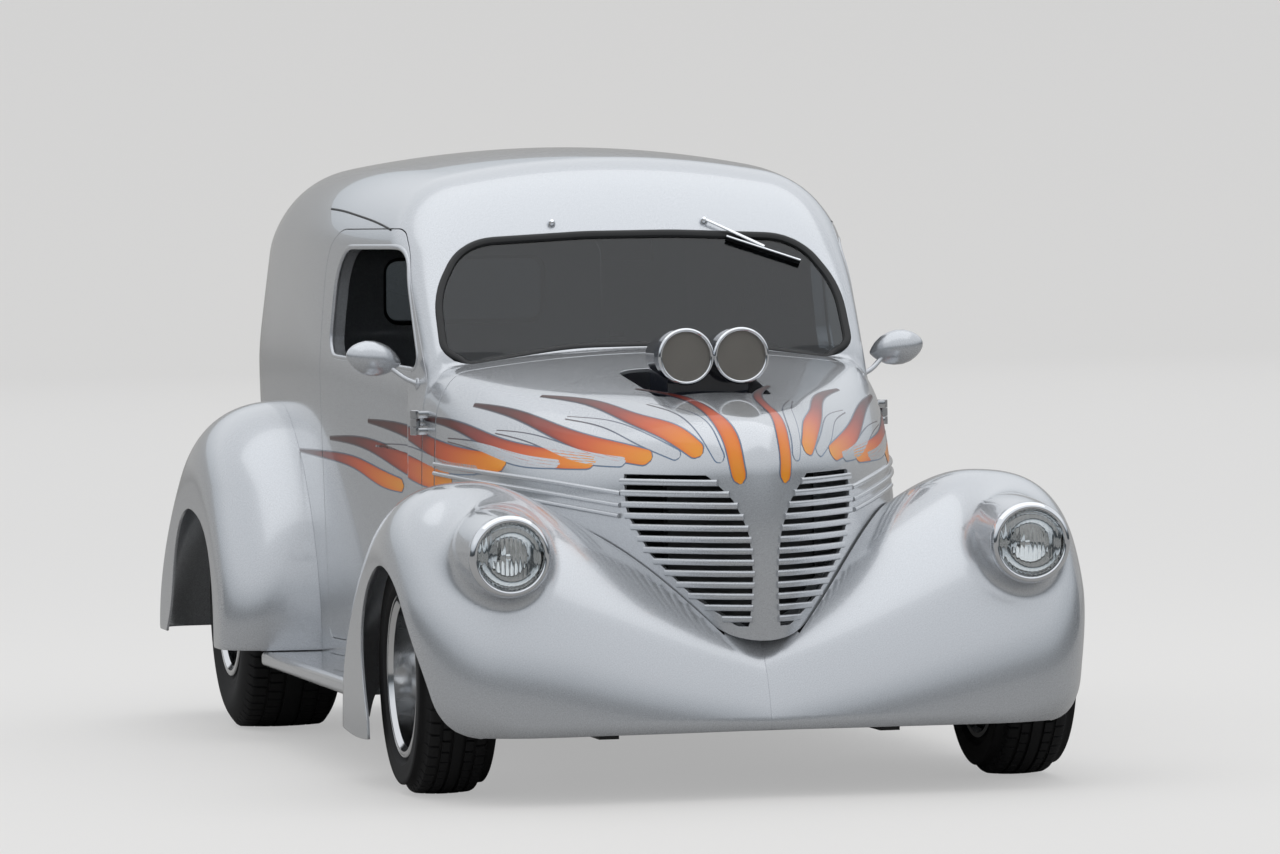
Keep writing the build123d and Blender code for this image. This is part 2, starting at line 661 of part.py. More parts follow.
def slab(points, x_low, x_high):
    outline = Polyline(*[(x_low, y, z) for y, z in points], close=True)
    return extrude(face_of(outline.edges()), amount=x_high - x_low, dir=(1, 0, 0))


rails = slab(rail_points, rail_x - rail_width / 2, rail_x + rail_width / 2)
frame = rails + at_mirror(rails)
for y_low, y_high, z_low, z_high in ((-1700.0, -1640.0, 150.0, 220.0), (-520.0, -460.0, 150.0, 210.0),
                                     (1240.0, 1290.0, 432.0, 498.0), (rail_rear_y - 60.0, rail_rear_y, 325.0, 395.0)):
    frame = frame + box_between((-rail_x, y_low, z_low), (rail_x, y_high, z_high))

# Front suspension: crossmember, arms and spring legs
arm_low_z = rail_low_z + rail_height + seat_gap
upper_arm_z = 400.0
arm_depth = 18.0
suspension = box_between((-rail_x - 60.0, front_axle_y - 50.0, arm_low_z), (rail_x + 60.0, front_axle_y + 50.0, arm_low_z + 50.0))
for side in (-1, 1):
    tower = box_between((min(side * 300.0, side * 340.0), front_axle_y - 60.0, arm_low_z), (max(side * 300.0, side * 340.0), front_axle_y + 60.0, 440.0))
    suspension = suspension + tower
    for z in (arm_low_z, upper_arm_z):
        points = [(side * 310.0, front_axle_y - 100.0, z), (side * 345.0, front_axle_y - 100.0, z), (side * kingpin_x, front_axle_y - 16.0, z),
                  (side * kingpin_x, front_axle_y + 16.0, z), (side * 345.0, front_axle_y + 100.0, z), (side * 310.0, front_axle_y + 100.0, z)]
        plate = extrude(face_of(Polyline(*points, close=True).edges()), amount=arm_depth, dir=(0, 0, 1))
        suspension = suspension + plate + upright(side * kingpin_x, front_axle_y, z + arm_depth / 2, 16.0, arm_depth)
    suspension = suspension + upright(side * 440.0, front_axle_y, (arm_low_z + 470.0) / 2, 24.0, 470.0 - arm_low_z)
    suspension = suspension + box_between((min(side * 300.0, side * 450.0), front_axle_y - 20.0, 425.0), (max(side * 300.0, side * 450.0), front_axle_y + 20.0, 440.0))
suspension = one(suspension)

# Wheels
hub_face_front = front_track / 2 - 30.0
hub_face_rear = rear_track / 2 - 20.0


def turned_x(x, y, z, profile):
    # Points are (distance outward from x, radius) about a line along X.
    outline = Polyline(*[(x + a, y, z + r) for a, r in profile], close=True)
    return revolve(face_of(outline.edges()), axis=Axis((0, y, z), (1, 0, 0)), revolution_arc=360)


def tyre(x, y, width, radius):
    half = width / 2
    bead = half - 16.0
    shoulder = half - 10.0
    side = (half, (rim_lip_radius + radius) / 2)

    def p(a, r):
        return (x + a, y, radius + r)

    edges = [
        Edge.make_line(p(-bead, rim_seat_radius), p(bead, rim_seat_radius)),
        Edge.make_line(p(bead, rim_seat_radius), p(bead, rim_lip_radius + 2.0)),
        Edge.make_three_point_arc(p(bead, rim_lip_radius + 2.0), p(*side), p(shoulder, radius - 12.0)),
        Edge.make_line(p(shoulder, radius - 12.0), p(shoulder - 16.0, radius)),
        Edge.make_line(p(shoulder - 16.0, radius), p(-shoulder + 16.0, radius)),
        Edge.make_line(p(-shoulder + 16.0, radius), p(-shoulder, radius - 12.0)),
        Edge.make_three_point_arc(p(-shoulder, radius - 12.0), p(-side[0], side[1]), p(-bead, rim_lip_radius + 2.0)),
        Edge.make_line(p(-bead, rim_lip_radius + 2.0), p(-bead, rim_seat_radius)),
    ]
    return revolve(face_of(edges), axis=Axis((0, y, radius), (1, 0, 0)), revolution_arc=360)


def rim(x, y, width, radius, face_x):
    edge = width / 2 - 16.0 + seat_gap
    seat = rim_seat_radius - seat_gap
    bore = seat - rim_wall
    disc = face_x - x
    body = turned_x(x, y, radius, [
        (-edge - 8.0, rim_lip_radius), (-edge, rim_lip_radius), (-edge, seat), (edge, seat), (edge, rim_lip_radius),
        (edge + 8.0, rim_lip_radius), (edge + 8.0, rim_lip_radius - 12.0), (edge - 4.0, bore), (disc + 12.0, bore),
        (disc + 12.0, 70.0), (disc + 40.0, 58.0), (disc + 40.0, 0.0), (disc, 0.0), (disc, bore), (-edge + 4.0, bore),
        (-edge - 8.0, rim_lip_radius - 12.0)])
    holes = [along_x(x + disc, y + 125.0 * cos(radians(72 * i)), radius + 125.0 * sin(radians(72 * i)), 30.0, 60.0) for i in range(5)]
    return body - holes


front_tyre = tyre(front_track / 2, front_axle_y, front_tyre_width, front_tyre_radius)
rear_tyre = tyre(rear_track / 2, rear_axle_y, rear_tyre_width, rear_tyre_radius)
front_rim = rim(front_track / 2, front_axle_y, front_tyre_width, front_tyre_radius, hub_face_front)
rear_rim = rim(rear_track / 2, rear_axle_y, rear_tyre_width, rear_tyre_radius, hub_face_rear)

# Knuckle: upright, kingpin bosses and spindle
knuckle_low = arm_low_z + arm_depth + seat_gap
knuckle_high = upper_arm_z - seat_gap
knuckle = upright(kingpin_x, front_axle_y, (knuckle_low + knuckle_high) / 2, 15.0, knuckle_high - knuckle_low)
knuckle = knuckle + along_x((kingpin_x + hub_face_front - seat_gap) / 2, front_axle_y, front_tyre_radius, 22.0, hub_face_front - seat_gap - kingpin_x)
knuckle = knuckle + along_x(hub_face_front - seat_gap - 6.0, front_axle_y, front_tyre_radius, hub_radius, 12.0)

# Rear axle with its links to the rails
rear_half = hub_face_rear - seat_gap
axle = turned_x(0.0, rear_axle_y, rear_tyre_radius, [
    (-rear_half, 0.0), (-rear_half, 70.0), (-rear_half + 14.0, 70.0), (-rear_half + 14.0, 38.0), (-130.0, 38.0), (-70.0, 110.0),
    (70.0, 110.0), (130.0, 38.0), (rear_half - 14.0, 38.0), (rear_half - 14.0, 70.0), (rear_half, 70.0), (rear_half, 0.0)])
link_x = rail_x + rail_width / 2
for side in (-1, 1):
    low = min(side * (link_x + seat_gap), side * (link_x + 25.0))
    high = max(side * (link_x + seat_gap), side * (link_x + 25.0))
    axle = axle + slab([(540.0, 170.0), (540.0, 200.0), (rear_axle_y, 320.0), (rear_axle_y + 20.0, 300.0)], low, high)
    axle = axle + slab([(rear_axle_y - 25.0, 355.0), (rear_axle_y - 25.0, 500.0), (rear_axle_y + 25.0, 500.0), (rear_axle_y + 25.0, 355.0)], low, high)

# Engine block with gearbox, mounts and the propeller shaft
engine = box_between((-265.0, -1320.0, 230.0), (265.0, -740.0, 840.0))
engine = engine + box_between((-130.0, -1300.0, 150.0), (130.0, -760.0, 230.0))
engine = engine + box_between((-110.0, -740.0, 150.0), (110.0, -702.0, 340.0))
engine = engine + box_between((-95.0, -702.0, 150.0), (95.0, -530.0, 240.0))
for side in (-1, 1):
    near = rail_x - rail_width / 2 - seat_gap
    engine = engine + box_between((min(side * 250.0, side * near), -1080.0, 160.0), (max(side * 250.0, side * near), -1020.0, 250.0))
engine = one(engine)

# Scoop: twin mouths on a neck that stands on the engine
neck_top = scoop_mouth_z
scoop = box_between((-105.0, -1290.0, 840.0 + seat_gap), (105.0, -1080.0, neck_top))
for side in (-1, 1):
    x = side * barrel_spacing / 2
    scoop = scoop + turned_y(x, scoop_mouth_z, [
        (scoop_mouth_y, 0.0), (scoop_mouth_y, barrel_radius - 6.0), (scoop_mouth_y + 60.0, barrel_radius - 2.0),
        (scoop_mouth_y + barrel_length, 50.0), (scoop_mouth_y + barrel_length + 30.0, 0.0)])
scoop = one(scoop)
rims = []
for side in (-1, 1):
    x = side * (barrel_spacing / 2 + 0.2)
    rims.append(turned_y(x, scoop_mouth_z, [
        (scoop_mouth_y - 14.0, 60.0), (scoop_mouth_y - 14.0, barrel_radius - 3.0), (scoop_mouth_y - 8.0, barrel_radius),
        (scoop_mouth_y - seat_gap, barrel_radius), (scoop_mouth_y - seat_gap, 60.0)]))

# Radiator on the rails
radiator = box_between((-185.0, -1625.0, 300.0), (185.0, -1572.0, 770.0))
radiator = radiator + box_between((-rail_x - 20.0, -1618.0, rail_low_z + rail_height + seat_gap), (rail_x + 20.0, -1578.0, 300.0))

# Cabin pieces
screen_back = side_wall * (screen_head_z - screen_foot_z) / screen_length
dash_front = body_front_y + screen_back + seat_gap
dashboard = box_between((-540.0, dash_front, 900.0), (540.0, dash_front + 90.0, 1010.0)) & floor_room
dashboard = one(dashboard)
seats = []
floor_top = body_low_z + floor_wall + seat_gap
for side in (-1, 1):
    low = min(side * 60.0, side * 540.0)
    high = max(side * 60.0, side * 540.0)
    base = box_between((low, -60.0, floor_top), (high, 430.0, floor_top + 210.0))
    back = slab([(330.0, floor_top + 150.0), (450.0, floor_top + 700.0), (560.0, floor_top + 700.0), (470.0, floor_top + 100.0)], low, high)
    seats.append(base + back)

wheel_x = 330.0
wheel_y = -300.0
wheel_z = 930.0
tilt = 25.0
steer_place = Pos(wheel_x, wheel_y, wheel_z) * Rot(-90 + tilt, 0, 0)
steering_wheel = steer_place * (Torus(175.0, 13.0) + Box(340.0, 24.0, 10.0) + Cylinder(38.0, 30.0))
column = steer_place * Pos(0, 0, -160.0) * Cylinder(20.0, 360.0)
steering_wheel = steering_wheel + (column & box_between((0.0, dash_front, 0.0), (900.0, 0.0, 1500.0)))

tank = box_between((-280.0, 1480.0, 405.3), (280.0, 1780.0, rear_floor_z - seat_gap))

write("cowl", cowl)
write("roof_panel", roof)
write("tail_panel", tail)
both("quarter", quarter)
both("door", door)
write("rear_door", rear_door)
write("windscreen_glass", screen_glass)
write("rear_door_glass", rear_glass)
write("hood", hood)
both("front_fender", fender)
both("rear_fender", rear_fender)
both("running_board", board)
both("headlight", headlight)
write("floor_pan", floor)
write("frame_rails", frame)
write("front_suspension", suspension)
both("knuckle", knuckle)
both("front_tyre", front_tyre)
both("front_rim", front_rim)
both("rear_tyre", rear_tyre)
both("rear_rim", rear_rim)
write("rear_axle", axle)
write("engine_block", engine)
write("scoop", scoop)
write("scoop_rims", *rims)
write("radiator", radiator)
write("dashboard", dashboard)
write("seats", *seats)
write("steering_wheel", steering_wheel)
write("fuel_tank", tank)
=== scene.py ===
import bmesh
import bpy
import json
from math import atan2, cos, pi, radians, sin, tan
from mathutils import Matrix, Vector
import numpy as np


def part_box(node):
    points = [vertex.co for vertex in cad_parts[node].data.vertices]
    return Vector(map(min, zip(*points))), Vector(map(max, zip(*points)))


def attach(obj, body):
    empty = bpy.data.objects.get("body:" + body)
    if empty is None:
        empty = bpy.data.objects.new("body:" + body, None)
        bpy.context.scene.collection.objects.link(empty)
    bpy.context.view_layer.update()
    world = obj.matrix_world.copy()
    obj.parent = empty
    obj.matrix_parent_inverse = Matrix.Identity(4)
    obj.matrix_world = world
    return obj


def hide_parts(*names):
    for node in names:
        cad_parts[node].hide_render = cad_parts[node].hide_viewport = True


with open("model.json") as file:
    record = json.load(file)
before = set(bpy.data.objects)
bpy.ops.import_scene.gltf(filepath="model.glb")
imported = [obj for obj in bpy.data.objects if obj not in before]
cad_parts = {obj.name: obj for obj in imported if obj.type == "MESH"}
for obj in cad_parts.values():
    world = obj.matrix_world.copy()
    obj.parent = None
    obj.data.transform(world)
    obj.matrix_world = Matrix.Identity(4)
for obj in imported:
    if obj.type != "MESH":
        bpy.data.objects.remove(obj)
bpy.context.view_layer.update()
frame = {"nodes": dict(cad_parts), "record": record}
nodes = frame["nodes"]
scene = bpy.context.scene
print("frame loaded:", len(nodes), "nodes")


# Smooth forms: each is a function of x, y, z in metres, zero on its surface and negative inside.

def batten(xs, ys):
    # a natural cubic through a few points, straight beyond its ends
    xs, ys = np.array(xs, float), np.array(ys, float)
    n = len(xs)
    h = np.diff(xs)
    grid = np.eye(n)
    side = np.zeros(n)
    for i in range(1, n - 1):
        grid[i, i - 1:i + 2] = h[i - 1], 2 * (h[i - 1] + h[i]), h[i]
        side[i] = 6 * ((ys[i + 1] - ys[i]) / h[i] - (ys[i] - ys[i - 1]) / h[i - 1])
    bend = np.linalg.solve(grid, side)

    def curve(x):
        x = np.asarray(x, float)
        i = np.clip(np.searchsorted(xs, x) - 1, 0, n - 2)
        x = np.clip(x, xs[0], xs[-1])
        a = (xs[i + 1] - x) / h[i]
        b = 1 - a
        curl = (a ** 3 - a) * bend[i] + (b ** 3 - b) * bend[i + 1]
        return a * ys[i] + b * ys[i + 1] + curl * h[i] ** 2 / 6

    return curve


def battens(rows):
    # one curve for each column after the first
    columns = list(zip(*rows))
    return [batten(columns[0], column) for column in columns[1:]]


def meet(a, b, radius):
    # two faces that meet in a rounded edge
    u = np.maximum(a + radius, 0)
    v = np.maximum(b + radius, 0)
    power = 2.3  # a little fuller than an arc, so that highlights run on smoothly
    return np.minimum(np.maximum(a, b), -radius) + (u ** power + v ** power) ** (1 / power)


def blendIn(a, b, radius):
    # two solids joined with a hollow fillet
    return -meet(-a, -b, radius)


def gradient(form, points, reach=0.0008):
    x, y, z = points.T
    return np.stack([(form(x + reach, y, z) - form(x - reach, y, z)),
                     (form(x, y + reach, z) - form(x, y - reach, z)),
                     (form(x, y, z + reach) - form(x, y, z - reach))], 1) / (2 * reach)


def settle(form, points, rounds=4):
    for _ in range(rounds):
        slope = gradient(form, points)
        off = form(*points.T) / np.maximum((slope ** 2).sum(1), 1e-6)
        points = points - slope * np.clip(off, -0.02, 0.02)[:, None]
    return points


def unit(vectors):
    return vectors / np.maximum(np.linalg.norm(vectors, axis=1), 1e-9)[:, None]


# Mesh work

def skinOf(form, low, high, step):
    # the form's surface as triangles: one vertex in each cell that it passes through
    axes = [np.arange(low[i], high[i] + step, step) for i in range(3)]
    value = form(*np.meshgrid(*axes, indexing="ij"))
    inside = value < 0
    corners = [(i, j, k) for i in (0, 1) for j in (0, 1) for k in (0, 1)]
    shape = [n - 1 for n in value.shape]
    part = {c: tuple(slice(c[i], c[i] + shape[i]) for i in range(3)) for c in corners}
    count = sum(inside[part[c]].astype(np.int8) for c in corners)
    active = (count > 0) & (count < 8)
    cells = np.argwhere(active)
    index = np.full(shape, -1)
    index[active] = np.arange(len(cells))
    at = {c: value[part[c]][active] for c in corners}
    total = np.zeros((len(cells), 3))
    weight = np.zeros(len(cells))
    for a in corners:
        for axis in range(3):
            if a[axis]:
                continue
            along = np.eye(3, dtype=int)[axis]
            b = tuple(a + along)
            cross = (at[a] < 0) != (at[b] < 0)
            share = np.where(cross, at[a] / np.where(at[a] == at[b], 1, at[a] - at[b]), 0)
            total += cross[:, None] * (a + np.outer(share, along))
            weight += cross
    points = (cells + total / weight[:, None]) * step + np.array(low)
    quads = []
    for axis in range(3):
        u, v = (axis + 1) % 3, (axis + 2) % 3
        change = np.diff(inside.astype(np.int8), axis=axis)
        for way in (-1, 1):
            edge = np.argwhere(change == way)
            kept = (edge[:, [u, v]] > 0) & (edge[:, [u, v]] < (shape[u], shape[v]))
            edge = edge[kept.all(1)]
            ring = []
            for du, dv in ((1, 1), (0, 1), (0, 0), (1, 0)):
                cell = edge.copy()
                cell[:, u] -= du
                cell[:, v] -= dv
                ring.append(index[tuple(cell.T)])
            quads.append(np.stack(ring[::-way], 1))
    return settle(form, points), triangles(np.concatenate(quads))


def tidied(points, faces):
    used = np.unique(faces)
    place = np.full(len(points), -1)
    place[used] = np.arange(len(used))
    return points[used], place[faces]


def clipped(points, faces, form, border):
    # keeps what is inside the border, cut cleanly along it
    value = border(*points.T)
    size = np.linalg.norm(points[faces[:, 0]] - points[faces[:, 1]], axis=1).mean()
    near = np.abs(value) < 0.22 * size
    if near.any():
        moved = onBoth(form, border, points[near])
        points = points.copy()
        points[near] = moved
        value[near] = 0
    inside = value <= 0
    score = inside[faces].sum(1)
    strict = (value < 0)[faces].any(1)
    whole = faces[(score == 3) & strict]
    parts = [whole]
    cut = faces[(score > 0) & (score < 3) & strict]
    if len(cut):
        edges = np.sort(np.concatenate([cut[:, [0, 1]], cut[:, [1, 2]], cut[:, [2, 0]]]), 1)
        edges = edges[inside[edges[:, 0]] != inside[edges[:, 1]]]
        edges = np.unique(edges, axis=0)
        total = len(points)
        va, vb = value[edges[:, 0]], value[edges[:, 1]]
        share = (va / (va - vb))[:, None]
        extra = points[edges[:, 0]] * (1 - share) + points[edges[:, 1]] * share
        fresh = share[:, 0] * (1 - share[:, 0]) > 1e-9
        extra[fresh] = onBoth(form, border, extra[fresh])
        key = edges[:, 0].astype(np.int64) * total + edges[:, 1]
        order = np.argsort(key)
        key = key[order]
        number = total + order
        same = np.where(va == 0, edges[:, 0], np.where(vb == 0, edges[:, 1], -1))
        number = np.where(same[order] >= 0, same[order], number)

        def between(a, b):
            low, high = np.minimum(a, b), np.maximum(a, b)
            return number[np.searchsorted(key, low.astype(np.int64) * total + high)]

        points = np.concatenate([points, extra])
        kept = inside[cut]
        for turn in range(3):
            a, b, c = cut[:, turn], cut[:, (turn + 1) % 3], cut[:, (turn + 2) % 3]
            alone = kept[:, turn] & ~kept[:, (turn + 1) % 3] & ~kept[:, (turn + 2) % 3]
            if alone.any():
                here = a[alone]
                parts.append(np.stack([here, between(here, b[alone]), between(here, c[alone])], 1))
            pair = ~kept[:, turn] & kept[:, (turn + 1) % 3] & kept[:, (turn + 2) % 3]
            if pair.any():
                ab, ca = between(a[pair], b[pair]), between(c[pair], a[pair])
                parts.append(np.stack([ab, b[pair], c[pair]], 1))
                parts.append(np.stack([ab, c[pair], ca], 1))
    return tidied(points, sound(np.concatenate(parts)))


def onBoth(form, border, points, rounds=4):
    for _ in range(rounds):
        f, g = form(*points.T), border(*points.T)
        df, dg = gradient(form, points), gradient(border, points)
        aa, ab, bb = (df * df).sum(1), (df * dg).sum(1), (dg * dg).sum(1)
        det = np.maximum(aa * bb - ab * ab, 1e-4)
        u = (f * bb - g * ab) / det
        v = (g * aa - f * ab) / det
        move = df * u[:, None] + dg * v[:, None]
        far = np.linalg.norm(move, axis=1)
        points = points - move * np.minimum(1, 0.01 / np.maximum(far, 1e-9))[:, None]
    return points


def rounded(corners, steps=9):
    # a closed outline from corners of (u, v, radius)
    ring = []
    n = len(corners)
    for i, (u, v, radius) in enumerate(corners):
        here = np.array((u, v))
        before = np.array(corners[i - 1][:2]) - here
        after = np.array(corners[(i + 1) % n][:2]) - here
        before /= np.linalg.norm(before)
        after /= np.linalg.norm(after)
        half = np.arccos(np.clip(before @ after, -1, 1)) / 2
        if radius < 1e-6:
            ring.append(here)
            continue
        middle = before + after
        centre = here + middle / np.linalg.norm(middle) * radius / sin(half)
        start = here + before * radius / tan(half) - centre
        end = here + after * radius / tan(half) - centre
        turn = atan2(start[0] * end[1] - start[1] * end[0], start @ end)
        for k in range(steps + 1):
            a = turn * k / steps
            ring.append(centre + np.array((start[0] * cos(a) - start[1] * sin(a),
                                           start[0] * sin(a) + start[1] * cos(a))))
    return np.array(ring)


def traced(points, count=48):
    # a smooth open curve through a few points
    points = np.array(points, float)
    along = np.concatenate([[0], np.cumsum(np.linalg.norm(np.diff(points, axis=0), axis=1))])
    columns = [batten(along, column) for column in points.T]
    t = np.linspace(0, along[-1], count)
    return np.stack([column(t) for column in columns], 1)


def within(ring, u, v):
    # signed distance to a closed outline, negative inside it
    near = np.full(np.shape(u), 1e9)
    odd = np.zeros(np.shape(u), bool)
    for (a, b), (c, d) in zip(ring, np.roll(ring, -1, axis=0)):
        du, dv = c - a, d - b
        t = np.clip(((u - a) * du + (v - b) * dv) / (du * du + dv * dv + 1e-12), 0, 1)
        near = np.minimum(near, (u - a - t * du) ** 2 + (v - b - t * dv) ** 2)
        if b != d:
            odd ^= ((b > v) != (d > v)) & (u < du * (v - b) / dv + a)
    return np.where(odd, -1, 1) * np.sqrt(near)


def thickened(points, faces, form, wall, lip=0.0015):
    # gives a surface its wall, inwards, with a small round on its edges; adds the corner normals
    normal = unit(gradient(form, points))
    n = len(points)
    directed = np.concatenate([faces[:, [0, 1]], faces[:, [1, 2]], faces[:, [2, 0]]]).astype(np.int64)
    key = directed[:, 0] * n + directed[:, 1]
    back = directed[:, 1] * n + directed[:, 0]
    border = directed[~np.isin(key, back)]
    rim = np.unique(border)
    outward = np.zeros((n, 3))
    along = unit(points[border[:, 1]] - points[border[:, 0]])
    for end in (0, 1):
        np.add.at(outward, border[:, end], np.cross(along, normal[border[:, end]]))
    outward = unit(outward[rim])
    place = np.full(n, -1)
    place[rim] = np.arange(len(rim))
    rise = normal[rim]
    soft = unit(rise + outward)
    loops = [points[rim] + outward * lip * 0.7 - rise * lip * 0.3, points[rim] + outward * lip - rise * lip]
    inner = points - normal * wall
    inner[rim] += outward * lip
    allPoints = np.concatenate([points] + loops + [inner])
    first, second, deep = n, n + len(rim), n + 2 * len(rim)
    a, b = border[:, 0], border[:, 1]
    ra, rb = place[a], place[b]
    groups = [(faces, normal[faces])]

    def band(lowA, lowB, highA, highB, normalLow, normalHigh):
        for trio, normals in (((lowB, lowA, highA), (normalLow[rb], normalLow[ra], normalHigh[ra])),
                              ((lowB, highA, highB), (normalLow[rb], normalHigh[ra], normalHigh[rb]))):
            groups.append((np.stack(trio, 1), np.stack(normals, 1)))

    band(a, b, first + ra, first + rb, rise, soft)
    band(first + ra, first + rb, second + ra, second + rb, soft, outward)
    band(second + ra, second + rb, deep + a, deep + b, outward, outward)
    groups.append((faces[:, ::-1] + deep, -normal[faces[:, ::-1]]))
    return allPoints, np.concatenate([g[0] for g in groups]), np.concatenate([g[1] for g in groups])


def meshObject(name, material, points, faces, cornerNormals=None):
    mesh = bpy.data.meshes.new(name)
    faces = np.asarray(faces)
    mesh.vertices.add(len(points))
    mesh.vertices.foreach_set("co", np.asarray(points, np.float32).ravel())
    mesh.loops.add(faces.size)
    mesh.loops.foreach_set("vertex_index", faces.astype(np.int32).ravel())
    mesh.polygons.add(len(faces))
    width = faces.shape[1]
    mesh.polygons.foreach_set("loop_start", np.arange(0, faces.size, width, dtype=np.int32))
    mesh.polygons.foreach_set("use_smooth", np.ones(len(faces), bool))
    mesh.update(calc_edges=True)
    if cornerNormals is not None:
        mesh.normals_split_custom_set(np.asarray(cornerNormals).reshape(-1, 3).tolist())
    piece = bpy.data.objects.new(name, mesh)
    scene.collection.objects.link(piece)
    if material:
        mesh.materials.append(material)
    return piece


def mirroredData(points, faces, cornerNormals):
    points = points * (-1, 1, 1)
    return points, faces[:, ::-1], cornerNormals[:, ::-1] * (-1, 1, 1)


slotOf = {}  # material name to the record's slot


def settled(piece, body, *replaced):
    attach(piece, body)
    if replaced:
        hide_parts(*replaced)
    return piece


def sided(names, side):
    # bodies and nodes that come in pairs take the side's name
    return [name if name == "root" else name + "_" + side.lower() for name in names]


# Small solids, each as points and faces: swept bars, turned pieces, blocks

def unitOne(vector):
    vector = np.array(vector, float)
    return vector / np.linalg.norm(vector)


def sound(faces):
    # drops faces that have shrunk to a line
    return faces[(faces[:, 0] != faces[:, 1]) & (faces[:, 1] != faces[:, 2]) & (faces[:, 0] != faces[:, 2])]


def triangles(quads):
    return sound(np.concatenate([quads[:, [0, 1, 2]], quads[:, [0, 2, 3]]]))


def gridQuads(rows, columns, wrapRows=False, wrapColumns=False):
    last = rows - (not wrapRows), columns - (not wrapColumns)
    i, j = np.meshgrid(np.arange(last[0]), np.arange(last[1]), indexing="ij")
    i, j = i.ravel(), j.ravel()
    up, on = (i + 1) % rows, (j + 1) % columns
    return np.stack([i * columns + j, i * columns + on, up * columns + on, up * columns + j], 1)


def swept(line, outward, profile, closed=False):
    # a closed profile of (across, out) points, anticlockwise, carried along a line on a surface
    line = np.asarray(line, float)
    onward = np.roll(line, -1, axis=0) - np.roll(line, 1, axis=0) if closed else np.gradient(line, axis=0)
    along = unit(onward)
    across = unit(np.cross(np.broadcast_to(np.asarray(outward, float), line.shape), along))
    outward = np.cross(along, across)
    profile = np.array(profile, float)
    n, m = len(line), len(profile)
    points = line[:, None] + across[:, None] * profile[None, :, :1] + outward[:, None] * profile[None, :, 1:]
    faces = [triangles(gridQuads(n, m, closed, True))]
    if not closed:
        j = np.arange(1, m - 1)
        faces.append(np.stack([j * 0, j + 1, j], 1))
        faces.append(np.stack([j * 0, j, j + 1], 1) + (n - 1) * m)
    return points.reshape(-1, 3), np.concatenate(faces)


def turned(profile, origin, axis, segments=64):
    # (along, radius) points about an axis; the outer side runs along it
    axis = unitOne(axis)
    u = unitOne(np.cross((1, 0, 0) if abs(axis[2]) > 0.9 else (0, 0, 1), axis))
    v = np.cross(axis, u)
    profile = np.array(profile, float)
    m = len(profile)
    turn = np.linspace(0, 2 * pi, segments, endpoint=False)
    ring = np.cos(turn)[:, None] * u + np.sin(turn)[:, None] * v
    points = np.array(origin) + profile[None, :, :1] * axis + ring[:, None] * profile[None, :, 1:]
    points = points.reshape(-1, 3)
    quads = gridQuads(segments, m, True)[:, [0, 3, 2, 1]]
    if np.allclose(profile[0], profile[-1]):
        quads[quads % m == m - 1] -= m - 1
    for end in (0, m - 1):
        if profile[end, 1] < 1e-6:
            quads[quads % m == end] = end
    return tidied(points, triangles(quads))


def block(low, high, soft=0.002):
    # a box with bevelled edges
    low, high = np.array(low, float), np.array(high, float)
    work = bmesh.new()
    bmesh.ops.create_cube(work, size=1.0)
    for vertex in work.verts:
        vertex.co = (low + high) / 2 + np.array(vertex.co) * (high - low)
    bmesh.ops.bevel(work, geom=work.edges[:], offset=soft, segments=2, profile=0.5, affect="EDGES")
    bmesh.ops.triangulate(work, faces=work.faces[:])
    points = np.array([vertex.co[:] for vertex in work.verts])
    faces = np.array([[vertex.index for vertex in face.verts] for face in work.faces])
    work.free()
    return points, faces


def merged(*parts):
    start = np.cumsum([0] + [len(points) for points, faces in parts[:-1]])
    return (np.concatenate([points for points, faces in parts]),
            np.concatenate([faces + first for (points, faces), first in zip(parts, start)]))


def flipped(part):
    return part[0] * (-1, 1, 1), part[1][:, ::-1]


def solid(name, parts, material, *names, crease=32):
    piece = meshObject(name, material, *merged(*parts))
    piece.data.set_sharp_from_angle(angle=radians(crease))
    return settled(piece, *names)


def solids(name, parts, material, *names, crease=32):
    # the same on the left and on the right
    solid(name + "Left", parts, material, *sided(names, "Left"), crease=crease)
    solid(name + "Right", [flipped(part) for part in parts], material, *sided(names, "Right"), crease=crease)


def roundProfile(width, height, lift=0.0, steps=4):
    # a bar's section with full rounds, (across, out) and anticlockwise
    radius = min(width, height) / 2
    ring = []
    for u, v, start in ((1, -1, -90), (1, 1, 0), (-1, 1, 90), (-1, -1, 180)):
        for k in range(steps + 1):
            a = radians(start + 90 * k / steps)
            ring.append((u * (width / 2 - radius) + radius * cos(a),
                         v * (height / 2 - radius) + radius * sin(a) + lift))
    return ring


def resampled(ring, spacing):
    ring = np.concatenate([ring, ring[:1]])
    along = np.concatenate([[0], np.cumsum(np.linalg.norm(np.diff(ring, axis=0), axis=1))])
    t = np.linspace(0, along[-1], int(along[-1] / spacing), endpoint=False)
    return np.stack([np.interp(t, along, column) for column in ring.T], 1)


def rodPart(start, end, radius, segments=20, bevel=0.001):
    length = np.linalg.norm(np.subtract(end, start))
    profile = [(0, 0), (0, radius - bevel), (bevel, radius), (length - bevel, radius),
               (length, radius - bevel), (length, 0)]
    return turned(profile, start, np.subtract(end, start), segments)


def onto(form, points, axis, rounds=12):
    # moves points along one axis until they lie on the form
    points = np.array(points, float)
    for _ in range(rounds):
        slope = gradient(form, points)[:, axis]
        points[:, axis] -= np.clip(form(*points.T) / np.where(np.abs(slope) < 0.05, 0.05, slope), -0.05, 0.05)
    return points


# Colours and materials

def linear(hexText):
    # sRGB hex to the linear colour that a shader takes
    parts = [int(hexText[i:i + 2], 16) / 255 for i in (0, 2, 4)]
    return [c / 12.92 if c <= 0.04045 else ((c + 0.055) / 1.055) ** 2.4 for c in parts] + [1.0]


